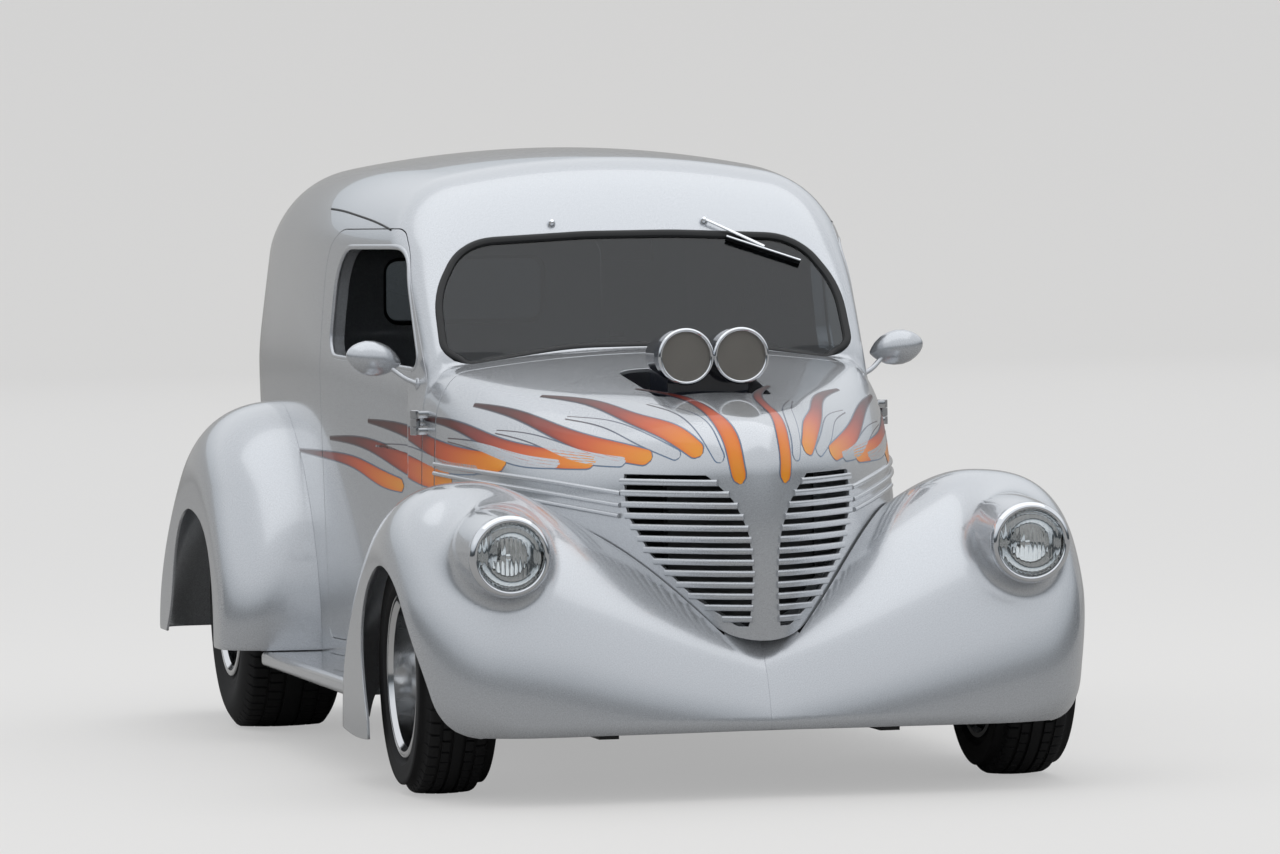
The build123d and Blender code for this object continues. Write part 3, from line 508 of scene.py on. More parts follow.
def addNode(tree, kind, settings=None, links=None):
    # settings go to the node's inputs or to the node itself; "stops" are the places and colours of a ramp
    node = tree.nodes.new(kind)
    for key, value in (settings or {}).items():
        if key == "stops":
            stops = node.color_ramp.elements
            for place, colour in value[1:-1]:
                stops.new(place).color = linear(colour)
            stops[0].color, stops[-1].color = linear(value[0][1]), linear(value[-1][1])
        elif isinstance(key, int) or key in node.inputs:
            node.inputs[key].default_value = value
        else:
            setattr(node, key, value)
    for key, source in (links or {}).items():
        tree.links.new(source, node.inputs[key])
    return node


def newMaterial(name, slot, settings):
    material = bpy.data.materials.new(name)
    material.use_nodes = True
    slotOf[name] = slot
    tree = material.node_tree
    shader = tree.nodes["Principled BSDF"]
    for key, value in settings.items():
        shader.inputs[key].default_value = linear(value) if isinstance(value, str) else value
    return material, tree, shader


def bumped(tree, shader, height, strength, distance):
    bump = addNode(tree, "ShaderNodeBump", {"Strength": strength, "Distance": distance}, {"Height": height})
    tree.links.new(bump.outputs["Normal"], shader.inputs["Normal"])


def objectPlace(tree):
    return tree.nodes.new("ShaderNodeTexCoord").outputs["Object"]


def grain(tree, size, detail=2.0):
    # fractal noise with features of this size in metres
    return addNode(tree, "ShaderNodeTexNoise", {"Scale": 1 / size, "Detail": detail},
                   {"Vector": objectPlace(tree)}).outputs["Fac"]


def varied(tree, shader, socket, source, low, high):
    spread = addNode(tree, "ShaderNodeMapRange", {"To Min": low, "To Max": high}, {"Value": source})
    tree.links.new(spread.outputs["Result"], shader.inputs[socket])


def wave(tree, axis, period):
    # a sine along one axis of the piece
    place = addNode(tree, "ShaderNodeSeparateXYZ", links={"Vector": objectPlace(tree)}).outputs[axis]
    turn = addNode(tree, "ShaderNodeMath", {"operation": "MULTIPLY", 1: 2 * pi / period},
                   {0: place}).outputs[0]
    return addNode(tree, "ShaderNodeMath", {"operation": "SINE"}, {0: turn}).outputs[0]


mm = 0.001

# silver basecoat under clear: bright where it faces the sky, grey at its edges, with a fine aluminium flake
silverPaint, tree, shader = newMaterial("silverMetallicPaint", "silver_paint", {
    "Base Color": "c3c6ca", "Metallic": 0.62,
    "Coat Weight": 1.0, "Coat Roughness": 0.03, "Coat IOR": 1.5})
flake = addNode(tree, "ShaderNodeTexVoronoi", {"Scale": 1 / (0.5 * mm)}, {"Vector": objectPlace(tree)})
flakeTone = addNode(tree, "ShaderNodeSeparateColor", links={"Color": flake.outputs["Color"]})
varied(tree, shader, "Roughness", flakeTone.outputs["Red"], 0.20, 0.32)


def lickPlace(tree):
    # X is the share along the lick, Y the distance from its middle
    return addNode(tree, "ShaderNodeSeparateXYZ",
                   links={0: addNode(tree, "ShaderNodeUVMap", {"uv_map": "lick"}).outputs[0]}).outputs


# flame paint: yellow at the round front through orange to a deep red tail, darker at its edges
flamePaint, tree, shader = newMaterial("candyFlamePaint", "silver_paint", {
    "Roughness": 0.40, "Specular IOR Level": 0.35, "Coat Weight": 0.45, "Coat Roughness": 0.03})
onLick = lickPlace(tree)
edge = addNode(tree, "ShaderNodeMath", {"operation": "POWER", 1: 4.0}, {0: onLick["Y"]})
edge = addNode(tree, "ShaderNodeMath", {"operation": "MULTIPLY", 1: 0.16}, {0: edge.outputs[0]})
heat = addNode(tree, "ShaderNodeMath", {"operation": "ADD"}, {0: onLick["X"], 1: edge.outputs[0]})
ramp = addNode(tree, "ShaderNodeValToRGB", {"stops": [
    (0, "f09a1c"), (0.14, "ea8216"), (0.34, "cf5516"), (0.56, "8f2c17"), (0.80, "55201b"), (1, "3c1614")]},
               {"Fac": heat.outputs[0]})
tree.links.new(ramp.outputs["Color"], shader.inputs["Base Color"])

# pinstripe: slate blue at the front, running into dark red brown
flameLine, tree, shader = newMaterial("pinstripeEnamel", "silver_paint", {
    "Roughness": 0.35, "Coat Weight": 1.0, "Coat Roughness": 0.03})
ramp = addNode(tree, "ShaderNodeValToRGB", {"stops": [(0, "4d6c8c"), (1, "3b2426")]},
               {"Fac": lickPlace(tree)["X"]})
tree.links.new(ramp.outputs["Color"], shader.inputs["Base Color"])

# satin black chassis enamel: soft grey sheen underneath
darkPaint, tree, shader = newMaterial("satinChassisPaint", "dark_paint",
                                      {"Base Color": "1b1c1e", "Coat Weight": 0.2})
varied(tree, shader, "Roughness", grain(tree, 8 * mm), 0.42, 0.58)

# blue-black gloss on the scoop
scoopPaint, tree, shader = newMaterial("blueBlackGloss", "scoop_paint", {
    "Base Color": "131827", "Roughness": 0.25, "Coat Weight": 1.0, "Coat Roughness": 0.02})

# tyre rubber: dull charcoal with a fine moulded grain
tyreRubber, tree, shader = newMaterial("tyreRubber", "tyre_rubber",
                                       {"Base Color": "1a1a1b", "Specular IOR Level": 0.35})
tone = grain(tree, 1.5 * mm, 3.0)
varied(tree, shader, "Roughness", tone, 0.62, 0.82)
bumped(tree, shader, tone, 0.25, 0.4 * mm)

# extruded weather seal: satin black
sealRubber, tree, shader = newMaterial("weatherSealRubber", "black_rubber", {"Base Color": "121314"})
varied(tree, shader, "Roughness", grain(tree, 3 * mm), 0.38, 0.55)

# metals: mirror-bright plate and stainless, softer polish on the rims, grey machined steel, rough dark iron
rimMetal, tree, shader = newMaterial("polishedAluminium", "rim_metal",
                                     {"Base Color": "dcddde", "Metallic": 1.0})
varied(tree, shader, "Roughness", grain(tree, 12 * mm), 0.08, 0.16)
chromePlate, polishedSteel, polishedBowl = (
    newMaterial(name, "chrome", {"Base Color": colour, "Metallic": 1.0, "Roughness": roughness})[0]
    for name, colour, roughness in (("chromiumPlate", "e3e5e8", 0.06), ("polishedStainless", "cfd0d2", 0.15),
                                    ("silveredReflector", "f0f1f2", 0.04)))
machinedSteel, tree, shader = newMaterial("machinedSteel", "steel", {"Base Color": "8d8e90", "Metallic": 1.0})
varied(tree, shader, "Roughness", grain(tree, 5 * mm), 0.28, 0.42)
castIron, tree, shader = newMaterial("castIron", "iron", {
    "Base Color": "3a3b3d", "Metallic": 0.6, "Roughness": 0.6})
bumped(tree, shader, grain(tree, 2 * mm, 3.0), 0.4, 0.6 * mm)

# wire mesh in the scoop's mouths: a woven grey cloth of 2.5 mm squares, pale on the wires, with painted shade
# in the gaps where the shaded throat behind them would show
meshWire, tree, shader = newMaterial("wovenWire", "steel", {"Metallic": 0.7, "Roughness": 0.45})
weave = addNode(tree, "ShaderNodeMath", {"operation": "MAXIMUM"},
                {0: wave(tree, "X", 2.5 * mm), 1: wave(tree, "Z", 2.5 * mm)})
shade = addNode(tree, "ShaderNodeMapRange", {"From Min": 0.0, "From Max": 0.9}, {"Value": weave.outputs[0]})
# the dark colour is painted shade in the gaps, the pale one the wire's own grey
wireAndShadedGaps = addNode(tree, "ShaderNodeMix", {"data_type": "RGBA", 6: linear("3d3c39"), 7: linear("a19d96")},
               {"Factor": shade.outputs["Result"]})
tree.links.new(wireAndShadedGaps.outputs[2], shader.inputs["Base Color"])

# glass: smoke-tinted screen, fluted lamp lens, red lamp lens
glassDark, tree, shader = newMaterial("tintedGlass", "tinted_glass", {
    "Base Color": "5f666b", "Roughness": 0.0, "IOR": 1.52, "Transmission Weight": 1.0})
lampGlass, tree, shader = newMaterial("flutedLampGlass", "lamp_glass", {
    "Base Color": "f4f6f6", "Roughness": 0.02, "IOR": 1.5, "Transmission Weight": 1.0})
bumped(tree, shader, wave(tree, "X", 11 * mm), 0.5, 1.2 * mm)
redLens, tree, shader = newMaterial("redLampLens", "lamp_glass", {
    "Base Color": "a01414", "Roughness": 0.05, "IOR": 1.49, "Transmission Weight": 0.6})

# grained leather on the seats
seatLeather, tree, shader = newMaterial("charcoalLeather", "seat_cloth",
                                        {"Base Color": "2a2a2c", "Roughness": 0.5})
hide = addNode(tree, "ShaderNodeTexVoronoi", {"Scale": 1 / (2.2 * mm)}, {"Vector": objectPlace(tree)})
bumped(tree, shader, hide.outputs["Distance"], 0.35, 0.5 * mm)

# the CAD nodes that stay take the finish of their slot
finishes = {slotOf[material.name]: material for material in (
    silverPaint, darkPaint, tyreRubber, rimMetal, glassDark, lampGlass, scoopPaint, chromePlate, sealRubber,
    machinedSteel, castIron, seatLeather)}
for part in frame["record"]["subparts"]:
    node = nodes[part["node"]]
    node.data.materials.clear()
    node.data.materials.append(finishes[part["material_slot"]])


# The cab: sections along Y, the sloping screen, the rounded tail

cab = {"sill": 0.25, "footY": -0.60, "footZ": 1.079, "headY": -0.377, "headZ": 1.395, "wall": 0.032,
       "header": 0.15, "pillar": 0.055, "tailEdge": 0.26, "tailCorner": 0.20, "tailCrown": 6.6}
# y, sill half width, belt half width, belt height, lean, shoulder, crown radius, top
cabSections = battens([
    (-0.60, 0.588, 0.598, 0.965, 5.0, 0.140, 2.6, 1.520),
    (-0.20, 0.640, 0.655, 1.005, 5.5, 0.180, 2.5, 1.582),
    (0.352, 0.700, 0.720, 1.050, 5.5, 0.200, 2.4, 1.626),
    (1.000, 0.700, 0.724, 1.060, 6.0, 0.205, 2.4, 1.632),
    (1.550, 0.665, 0.692, 1.062, 8.0, 0.210, 2.4, 1.616),
    (2.000, 0.560, 0.600, 1.058, 11.0, 0.220, 2.2, 1.585)])
tailLine = batten([0.25, 0.38, 0.50, 0.76, 1.15, 1.45, 1.70],
                  [1.884, 1.898, 1.925, 1.966, 1.986, 1.955, 1.90])
screenSlope = atan2(cab["headZ"] - cab["footZ"], cab["headY"] - cab["footY"])


def step(low, high, value):
    t = np.clip((value - low) / (high - low), 0, 1)
    return t * t * (3 - 2 * t)


def cabForm(x, y, z):
    across = np.abs(x)
    sill, belt, beltZ, lean, corner, crown, top = [curve(y) for curve in cabSections]
    above = z - beltZ
    bend = np.sqrt(above ** 2 + 0.06 ** 2)
    tuck = (belt - sill) / (beltZ - cab["sill"]) * (bend - above) / 2
    width = belt - np.tan(np.radians(lean)) * (above + bend) / 2 - tuck
    side = across - width
    roof = z - top + across ** 2 / (2 * crown)
    screen = -(y - cab["footY"]) * sin(screenSlope) + (z - cab["footZ"]) * cos(screenSlope)
    tail = y - tailLine(z) + across ** 2 / (2 * cab["tailCrown"])
    cap = meet(meet(roof, screen, cab["header"]), tail, cab["tailEdge"])
    edge = cab["pillar"] + (corner - cab["pillar"]) * step(1.12, 1.46, z) * step(-0.62, -0.25, y)
    edge = edge + (cab["tailCorner"] - edge) * step(1.3, 1.75, y)
    front = -(y - cab["footY"])
    return meet(meet(side, cap, edge), front, 0.02)


# The hood and nose: a plan curve round a ridge, and a crowned top

hoodPlan = {"bow": 2.02, "flare": 410.0, "flarePower": 13.9, "midZ": 0.675}
ridgeLine = batten([0.34, 0.60, 0.75, 0.87, 1.00], [-1.876, -1.906, -1.903, -1.890, -1.868])
# y, lean, shoulder, crown curvature, top
hoodSections = battens([
    (-0.60, 1.0, 0.120, 0.27, 1.089), (-0.70, 1.5, 0.120, 0.29, 1.079), (-1.00, 4.5, 0.150, 0.48, 1.040),
    (-1.36, 6.0, 0.165, 1.00, 0.992), (-1.62, 3.0, 0.140, 1.80, 0.957),
    (-1.94, 0.0, 0.115, 3.00, 0.905)][::-1])


def hoodForm(x, y, z):
    lean, corner, curve, top = [column(y) for column in hoodSections]
    fromMiddle = np.sqrt(x * x + 0.012 ** 2) - 0.012
    across = np.maximum(fromMiddle + np.tan(np.radians(lean)) * (z - hoodPlan["midZ"]), 0)
    reach = np.minimum(across, 0.75)
    plan = hoodPlan["bow"] * reach ** 1.5 + hoodPlan["flare"] * reach ** hoodPlan["flarePower"]
    slope = 1.5 * hoodPlan["bow"] * reach ** 0.5
    slope = slope + hoodPlan["flare"] * hoodPlan["flarePower"] * reach ** (hoodPlan["flarePower"] - 1)
    side = (ridgeLine(z) + plan - y) / np.sqrt(1 + slope ** 2)
    roof = z - top + x * x * curve / 2
    return meet(side, roof, corner)


def shellForm(x, y, z):
    # the cab with the cowl, which runs on in the hood's shape
    return blendIn(cabForm(x, y, z), np.maximum(hoodForm(x, y, z), y + 0.45), 0.018)


# Fenders: front and rear arcs from a crown, rounded at the flank and rolled under below

# x, front y, crown y, crown z, rear y
fenderRows = battens([
    (0.0, -1.936, -1.630, 0.452, -0.680), (0.24, -1.949, -1.560, 0.575, -0.680),
    (0.45, -1.952, -1.480, 0.705, -0.680), (0.62, -1.946, -1.450, 0.778, -0.690),
    (0.72, -1.912, -1.450, 0.776, -0.720), (0.80, -1.858, -1.450, 0.770, -0.760),
    (0.87, -1.780, -1.450, 0.758, -0.800), (0.93, -1.690, -1.450, 0.740, -0.840)])
rearRows = battens([
    (0.60, 0.505, 1.060, 0.935, 1.810), (0.80, 0.520, 1.055, 0.925, 1.820),
    (0.98, 0.560, 1.055, 0.915, 1.815)])
fenders = {"arcFoot": 0.10, "frontFlank": 0.892, "flankTaper": 0.25, "flankTuck": 0.028, "rearFlank": 0.972,
           "frontRound": 0.20, "rearRound": 0.24, "panBottom": 0.150, "skirtDrop": 0.085, "panRoll": 0.05,
           "wall": 0.007, "lip": 0.002}


def pontoon(rows, across, y, z):
    front, crownY, crownZ, rear = [column(across) for column in rows]
    rise = crownZ - fenders["arcFoot"]
    reach = np.where(y < crownY, crownY - front, rear - crownY)
    radius = (reach ** 2 + rise ** 2) / (2 * rise)
    return np.sqrt((y - crownY) ** 2 + (z - crownZ + radius) ** 2) - radius


lamp = {"x": 0.657, "y": -1.973, "z": 0.614, "hole": 0.0925}
podLine = batten([-1.99, -1.95, -1.80, -1.62, -1.48, -1.40], [0.099, 0.104, 0.116, 0.110, 0.085, 0.05])


def fenderForm(x, y, z):
    across = np.maximum(x, 0)
    arch = pontoon(fenderRows, across, y, z)
    roundOff = fenders["frontRound"] * (0.55 + 0.45 * step(0.25, 0.60, z))
    flank = fenders["frontFlank"] - fenders["flankTaper"] * np.maximum(-1.42 - y, 0) ** 2
    flank = flank - fenders["flankTuck"] * step(0.50, 0.20, z) * step(-1.35, -1.75, y)
    main = meet(arch, x - flank, roundOff)
    bottom = fenders["panBottom"] - fenders["skirtDrop"] * step(-1.42, -1.20, y)
    main = meet(main, bottom - z, fenders["panRoll"] + 0.07 * step(0.60, 0.86, x) * step(-1.55, -1.75, y))
    away = np.sqrt((x - lamp["x"]) ** 2 + (z - lamp["z"]) ** 2)
    pod = np.maximum(away - podLine(y), np.maximum(lamp["y"] + 0.004 - y, y + 1.40))
    return blendIn(main, pod, 0.05)


def rearForm(x, y, z):
    arch = pontoon(rearRows, np.maximum(x, 0), y, z)
    main = meet(arch, x - fenders["rearFlank"], fenders["rearRound"] * (0.5 + 0.5 * step(0.30, 0.70, z)))
    return meet(main, 0.235 - z, 0.03)


# Outlines in side view (y, z), on the screen (x, up the slope), and from behind (x, z)
doorRing = rounded([(-0.590, 0.296, 0.03), (-0.590, 1.010, 0.10), (-0.335, 1.350, 0.30),
                    (-0.255, 1.412, 0.10), (0.352, 1.412, 0.14), (0.352, 0.296, 0.03)])
windowRing = rounded([(-0.520, 1.040, 0.03), (-0.322, 1.367, 0.13), (0.240, 1.367, 0.13),
                      (0.262, 1.070, 0.06)])
screenRing = rounded([(-0.20, 0.020, 0.9), (-0.47, -0.022, 0.05), (-0.556, 0.0, 0.06), (-0.552, 0.20, 0.30),
                      (-0.46, 0.371, 0.16), (-0.12, 0.390, 1.2), (0.12, 0.390, 1.2), (0.46, 0.371, 0.16),
                      (0.552, 0.20, 0.30), (0.556, 0.0, 0.06), (0.47, -0.022, 0.05), (0.20, 0.020, 0.9)])
rearDoorRing = rounded([(-0.418, 0.330, 0.08), (0.418, 0.330, 0.08), (0.418, 1.400, 0.08),
                        (-0.418, 1.400, 0.08)])
rearWindowRing = rounded([(-0.250, 1.120, 0.05), (0.250, 1.120, 0.05), (0.250, 1.330, 0.05),
                          (-0.250, 1.330, 0.05)])
panelGap = 0.0045


def above(axis, limit):
    return lambda *place: limit - place["xyz".index(axis)]


def below(axis, limit):
    return lambda *place: place["xyz".index(axis)] - limit


def seen(ring, view):
    # an outline as a border, drawn in the two axes of its view
    first, second = ("xyz".index(axis) for axis in view)
    return lambda *place: within(ring, place[first], place[second])


def shared(*borders):
    return lambda *place: np.maximum.reduce([border(*place) for border in borders])


def grown(form, extra):
    return lambda *place: form(*place) - extra


def outside(border, clear=0.0):
    return lambda *place: clear - border(*place)


def upScreen(y, z):
    return (y - cab["footY"]) * cos(screenSlope) + (z - cab["footZ"]) * sin(screenSlope)


def screenEdge(x, y, z):
    return np.maximum(within(screenRing, x, upScreen(y, z)), y + 0.25)


def skinned(name, material, names, form, low, high, step, borders, wall, lip=0.0015, both=False):
    # a piece of the form's skin inside the borders; names are its body and the nodes it replaces
    data = skinOf(form, low, high, step)
    for border in borders:
        data = clipped(*data, form, border)
    data = thickened(*data, form, wall, lip)
    print(name + ":", len(data[1]), "faces")
    for side, shape in (("Left", data), ("Right", mirroredData(*data))) if both else (("", data),):
        own = sided(names, side) if both else names
        settled(meshObject(name + side, material, *shape), *own)


doorEdge = seen(doorRing, "yz")
rearDoorEdge = shared(seen(rearDoorRing, "xz"), above("y", 1.6))
wheelHouse = {"y": 1.09, "z": 0.355, "radius": 0.405}
hoodHingeZ, doorWall = 1.066, 0.04
skinned("bodyShell", silverPaint,
        ["root", "cowl", "roof_panel", "tail_panel", "quarter_left", "quarter_right"],
        shellForm, (-0.80, -0.76, 0.20), (0.80, 2.06, 1.70), 0.019,
        [above("z", cab["sill"]), lambda x, y, z: -0.700 + 0.30 * np.maximum(z - hoodHingeZ, 0) - y,
         outside(doorEdge, panelGap), outside(screenEdge, 0.004), outside(rearDoorEdge, panelGap),
         lambda x, y, z: wheelHouse["radius"] - np.hypot(y - wheelHouse["y"], z - wheelHouse["z"])],
        cab["wall"])
skinned("door", silverPaint, ["door", "door"],
        shellForm, (0.30, -0.70, 0.20), (0.80, 0.46, 1.50), 0.016,
        [doorEdge, outside(seen(windowRing, "yz"))], doorWall, both=True)
skinned("rearDoor", silverPaint, ["rear_door", "rear_door"],
        shellForm, (-0.50, 1.70, 0.28), (0.50, 2.06, 1.45), 0.018,
        [rearDoorEdge, outside(seen(rearWindowRing, "xz"))], doorWall)

# Hood and nose
hoodEdgeLine = batten([-1.888, -1.850, -1.807, -1.703, -1.566, -1.447, -1.30, -1.00, -0.70],
                      [0.385, 0.402, 0.438, 0.528, 0.602, 0.644, 0.682, 0.699, 0.705])
scoopRing = rounded([(-0.150, -1.392, 0.05), (0.150, -1.392, 0.05), (0.172, -0.960, 0.05),
                     (-0.172, -0.960, 0.05)])
# height, inner end and outer end of the louvre banks
bankRows = [(0.420, 0.039, 0.068), (0.425, 0.038, 0.074), (0.490, 0.033, 0.158), (0.545, 0.031, 0.205),
            (0.597, 0.034, 0.246), (0.650, 0.040, 0.268), (0.680, 0.050, 0.281), (0.705, 0.060, 0.288),
            (0.735, 0.074, 0.290), (0.762, 0.096, 0.290), (0.790, 0.122, 0.290), (0.796, 0.128, 0.290)]
bankRing = np.array([(outer, z) for z, inner, outer in bankRows]
                    + [(inner, z) for z, inner, outer in bankRows[::-1]])


def hoodFoot(x, y, z):
    return hoodEdgeLine(np.minimum(y, -0.70)) - z


def bankEdge(x, y, z):
    return np.maximum(within(bankRing, np.abs(x), z), y + 1.3)


skinned("hoodPanel", silverPaint, ["hood", "hood"],
        hoodForm, (-0.72, -1.98, 0.30), (0.72, -0.62, 1.14), 0.0125,
        [hoodFoot, lambda x, y, z: y + 0.706 + 0.55 * np.maximum(z - hoodHingeZ, 0),
         outside(shared(seen(scoopRing, "xy"), above("z", 0.8))), outside(bankEdge)], 0.009)


# Louvre bars and speed ribs: one node group sweeps a rounded bar along lines that lie on the hood

def groupOf(name, inputs):
    tree = bpy.data.node_groups.new(name, "GeometryNodeTree")
    tree.interface.new_socket("Geometry", in_out="OUTPUT", socket_type="NodeSocketGeometry")
    for label, kind, value in inputs:
        socket = tree.interface.new_socket(label, in_out="INPUT", socket_type="NodeSocket" + kind)
        if value is not None:
            socket.default_value = value
    return tree, tree.nodes.new("NodeGroupInput").outputs, tree.nodes.new("NodeGroupOutput").inputs


def grownBy(piece, tree, settings):
    # runs the node group once and keeps its result as a plain mesh
    modifier = piece.modifiers.new(tree.name, "NODES")
    modifier.node_group = tree
    for item in tree.interface.items_tree:
        if item.name in settings:
            modifier[item.identifier] = settings[item.name]
    result = bpy.data.meshes.new_from_object(piece.evaluated_get(bpy.context.evaluated_depsgraph_get()))
    piece.modifiers.remove(modifier)
    piece.data = result
    return piece


barTree, source, sink = groupOf("roundedBars", [
    ("Lines", "Geometry", None), ("Bar Depth", "Float", 0.012), ("Bar Height", "Float", 0.017),
    ("Edge Radius", "Float", 0.005), ("Material", "Material", None)])
curve = addNode(barTree, "GeometryNodeMeshToCurve", links={"Mesh": source["Lines"]})
curve = addNode(barTree, "GeometryNodeSetCurveNormal", {"mode": "Z_UP"}, {"Curve": curve.outputs[0]})
section = addNode(barTree, "GeometryNodeCurvePrimitiveQuadrilateral",
                  links={"Width": source["Bar Depth"], "Height": source["Bar Height"]})
section = addNode(barTree, "GeometryNodeFilletCurve", {"mode": "POLY", "Count": 4, "Limit Radius": True},
                  {"Curve": section.outputs[0], "Radius": source["Edge Radius"]})
bar = addNode(barTree, "GeometryNodeCurveToMesh", {"Fill Caps": True},
              {"Curve": curve.outputs[0], "Profile Curve": section.outputs[0]})
bar = addNode(barTree, "GeometryNodeSetMaterial",
              links={"Geometry": bar.outputs[0], "Material": source["Material"]})
barTree.links.new(bar.outputs[0], sink["Geometry"])


def lineObject(name, lines):
    # open lines as bare edges
    mesh = bpy.data.meshes.new(name)
    edges = []
    start = 0
    for line in lines:
        edges += [(start + k, start + k + 1) for k in range(len(line) - 1)]
        start += len(line)
    mesh.from_pydata(np.concatenate(lines).tolist(), edges, [])
    piece = bpy.data.objects.new(name, mesh)
    scene.collection.objects.link(piece)
    return piece


def barsAlong(name, lines, settings):
    # the lines and their mirror images, each with its bar
    piece = lineObject(name, [line * (way, 1, 1) for line in lines for way in (1, -1)])
    grownBy(piece, barTree, {**settings, "Material": silverPaint})
    piece.data.set_sharp_from_angle(angle=radians(50))
    return settled(piece, "hood")


louvre = {"top": 0.790, "pitch": 0.028, "slot": 0.011, "count": 14, "depth": 0.013, "edge": 0.0062,
          "overlap": 0.004}
bankColumns = np.array(bankRows).T
bankLines = []
for index in range(1, louvre["count"]):
    z = louvre["top"] - (index - 0.5) * louvre["pitch"]
    inner, outer = (np.interp(z, bankColumns[0], column) for column in bankColumns[1:])
    across = np.linspace(inner - louvre["overlap"], outer + louvre["overlap"], 22)
    line = np.stack([across, ridgeLine(z) + 2 * across ** 1.5, 0 * across + z], 1)
    bankLines.append(onto(hoodForm, line, 1))
bars = barsAlong("louvreBars", bankLines, {
    "Bar Depth": louvre["depth"], "Bar Height": louvre["pitch"] - louvre["slot"],
    "Edge Radius": louvre["edge"]})

# y and z along each of the three ribs
ribRows = [[(-0.709, 0.800), (-1.30, 0.774), (-1.592, 0.747)],
           [(-0.709, 0.776), (-1.30, 0.746), (-1.592, 0.717)],
           [(-1.16, 0.733), (-1.30, 0.722), (-1.592, 0.691)]]
ribLines = []
for row in ribRows:
    height = batten(*zip(*row[::-1]))
    along = np.linspace(row[0][0], row[-1][0], 40)
    across = 0.56 + 0 * along - 0.30 * np.clip((-0.7 - along) / 0.9, 0, 1)
    ribLines.append(onto(hoodForm, np.stack([across, along, height(along)], 1), 0))
ribs = barsAlong("speedRibs", ribLines, {"Bar Depth": 0.018, "Bar Height": 0.012, "Edge Radius": 0.0055})
print("louvres and ribs:", len(bars.data.polygons) + len(ribs.data.polygons), "faces")

# Windscreen and rear window: glass on the cab's own form, and a black rubber seal
glass = {"sink": 0.008, "rearSink": 0.010, "wall": 0.005, "lip": 0.0005}
sealProfile = [(-0.002, -0.003), (0.004, -0.018), (0.014, -0.018), (0.017, -0.007), (0.014, -0.001),
               (0.007, 0.0025), (0.001, 0.0025), (-0.002, 0.001)]


def shellNormal(points):
    return unit(gradient(shellForm, points))


def screenPoint(ring):
    return np.stack([ring[:, 0], cab["footY"] + ring[:, 1] * cos(screenSlope),
                     cab["footZ"] + ring[:, 1] * sin(screenSlope)], 1)


skinned("windscreenGlass", glassDark, ["root", "windscreen_glass"],
        grown(shellForm, -glass["sink"]), (-0.62, -0.70, 1.02), (0.62, -0.22, 1.46), 0.019,
        [grown(screenEdge, 0.004)], glass["wall"], glass["lip"])
line = settle(shellForm, screenPoint(resampled(screenRing[::-1], 0.014)), 8)
solid("windscreenSeal", [swept(line, shellNormal(line), sealProfile, True)], sealRubber, "root")
skinned("rearDoorGlass", glassDark, ["rear_door", "rear_door_glass"],
        grown(shellForm, -glass["rearSink"]), (-0.30, 1.80, 1.08), (0.30, 2.04, 1.37), 0.02,
        [shared(grown(seen(rearWindowRing, "xz"), 0.008), above("y", 1.7))], glass["wall"], glass["lip"])
ring = resampled(rearWindowRing, 0.014)
line = settle(shellForm, np.stack([ring[:, 0], tailLine(ring[:, 1]), ring[:, 1]], 1), 8)
seal = swept(line, shellNormal(line), [(-u, v) for u, v in sealProfile[::-1]], True)
solid("rearWindowSeal", [seal], sealRubber, "rear_door")
print("glass and seals done")

# Front fenders with the pan, rear fenders
bayRing = np.array([(-0.2, -1.80), (0.0, -1.80), (0.10, -1.765), (0.205, -1.64), (0.286, -1.50),
                    (0.40, -1.29), (0.50, -1.08), (0.556, -0.60), (-0.2, -0.60)])
frontArch = np.concatenate([[(-1.93, 0.05)], traced([
    (-1.93, 0.162), (-1.855, 0.183), (-1.80, 0.275), (-1.742, 0.38), (-1.663, 0.495), (-1.580, 0.555),
    (-1.476, 0.579), (-1.370, 0.557), (-1.253, 0.490), (-1.190, 0.390), (-1.205, 0.276),
    (-1.255, 0.18)]), [(-1.275, 0.05)]])
fenderTrim = batten([-2.1, -1.7, -1.1, -0.9, -0.7], [0.166, 0.164, 0.125, 0.137, 0.160])
hoodGap = 0.006


def hoodRoom(x, y, z):
    return np.maximum(hoodForm(x, y, z), hoodFoot(x, y, z)) - hoodGap


def boardNotch(border):
    # where the running board's end goes in
    return outside(shared(border, below("z", 0.253), below("x", 0.87)))


def lampHole(x, y, z):
    return np.maximum(np.hypot(x - lamp["x"], z - lamp["z"]) - lamp["hole"], y + 1.90)


skinned("frontFender", silverPaint, ["root", "front_fender"],
        fenderForm, (-0.02, -2.02, 0.11), (0.96, -0.66, 0.84), 0.0125,
        [above("x", 0.0012), below("y", -0.700), lambda x, y, z: fenderTrim(y) - z,
         outside(hoodRoom), outside(seen(bayRing, "xy")),
         outside(shared(seen(frontArch, "yz"), above("x", 0.60))), boardNotch(above("y", -0.765)),
         outside(lampHole)], fenders["wall"], fenders["lip"], both=True)

# side aprons: the panel between the hood's edge, the cowl and the fender's back
skinned("sideApron", silverPaint, ["root"],
        hoodForm, (0.30, -1.14, 0.22), (0.75, -0.68, 0.74), 0.016,
        [outside(hoodFoot, 0.005), below("y", -0.7005), above("y", -1.12), above("z", 0.256)],
        0.004, both=True)

rearArch = np.concatenate([[(0.700, 0.05)], traced([
    (0.700, 0.24), (0.712, 0.40), (0.790, 0.535), (0.907, 0.598), (1.031, 0.622), (1.123, 0.627),
    (1.218, 0.613), (1.300, 0.580), (1.420, 0.460), (1.490, 0.340), (1.600, 0.245)]), [(1.66, 0.05)]])
skinned("rearFender", silverPaint, ["root", "rear_fender"],
        rearForm, (0.50, 0.44, 0.18), (1.02, 1.86, 0.98), 0.0125,
        [above("z", 0.254), outside(shellForm, 0.001),
         outside(shared(seen(rearArch, "yz"), above("x", 0.68))), boardNotch(below("y", 0.529))],
        fenders["wall"], fenders["lip"], both=True)

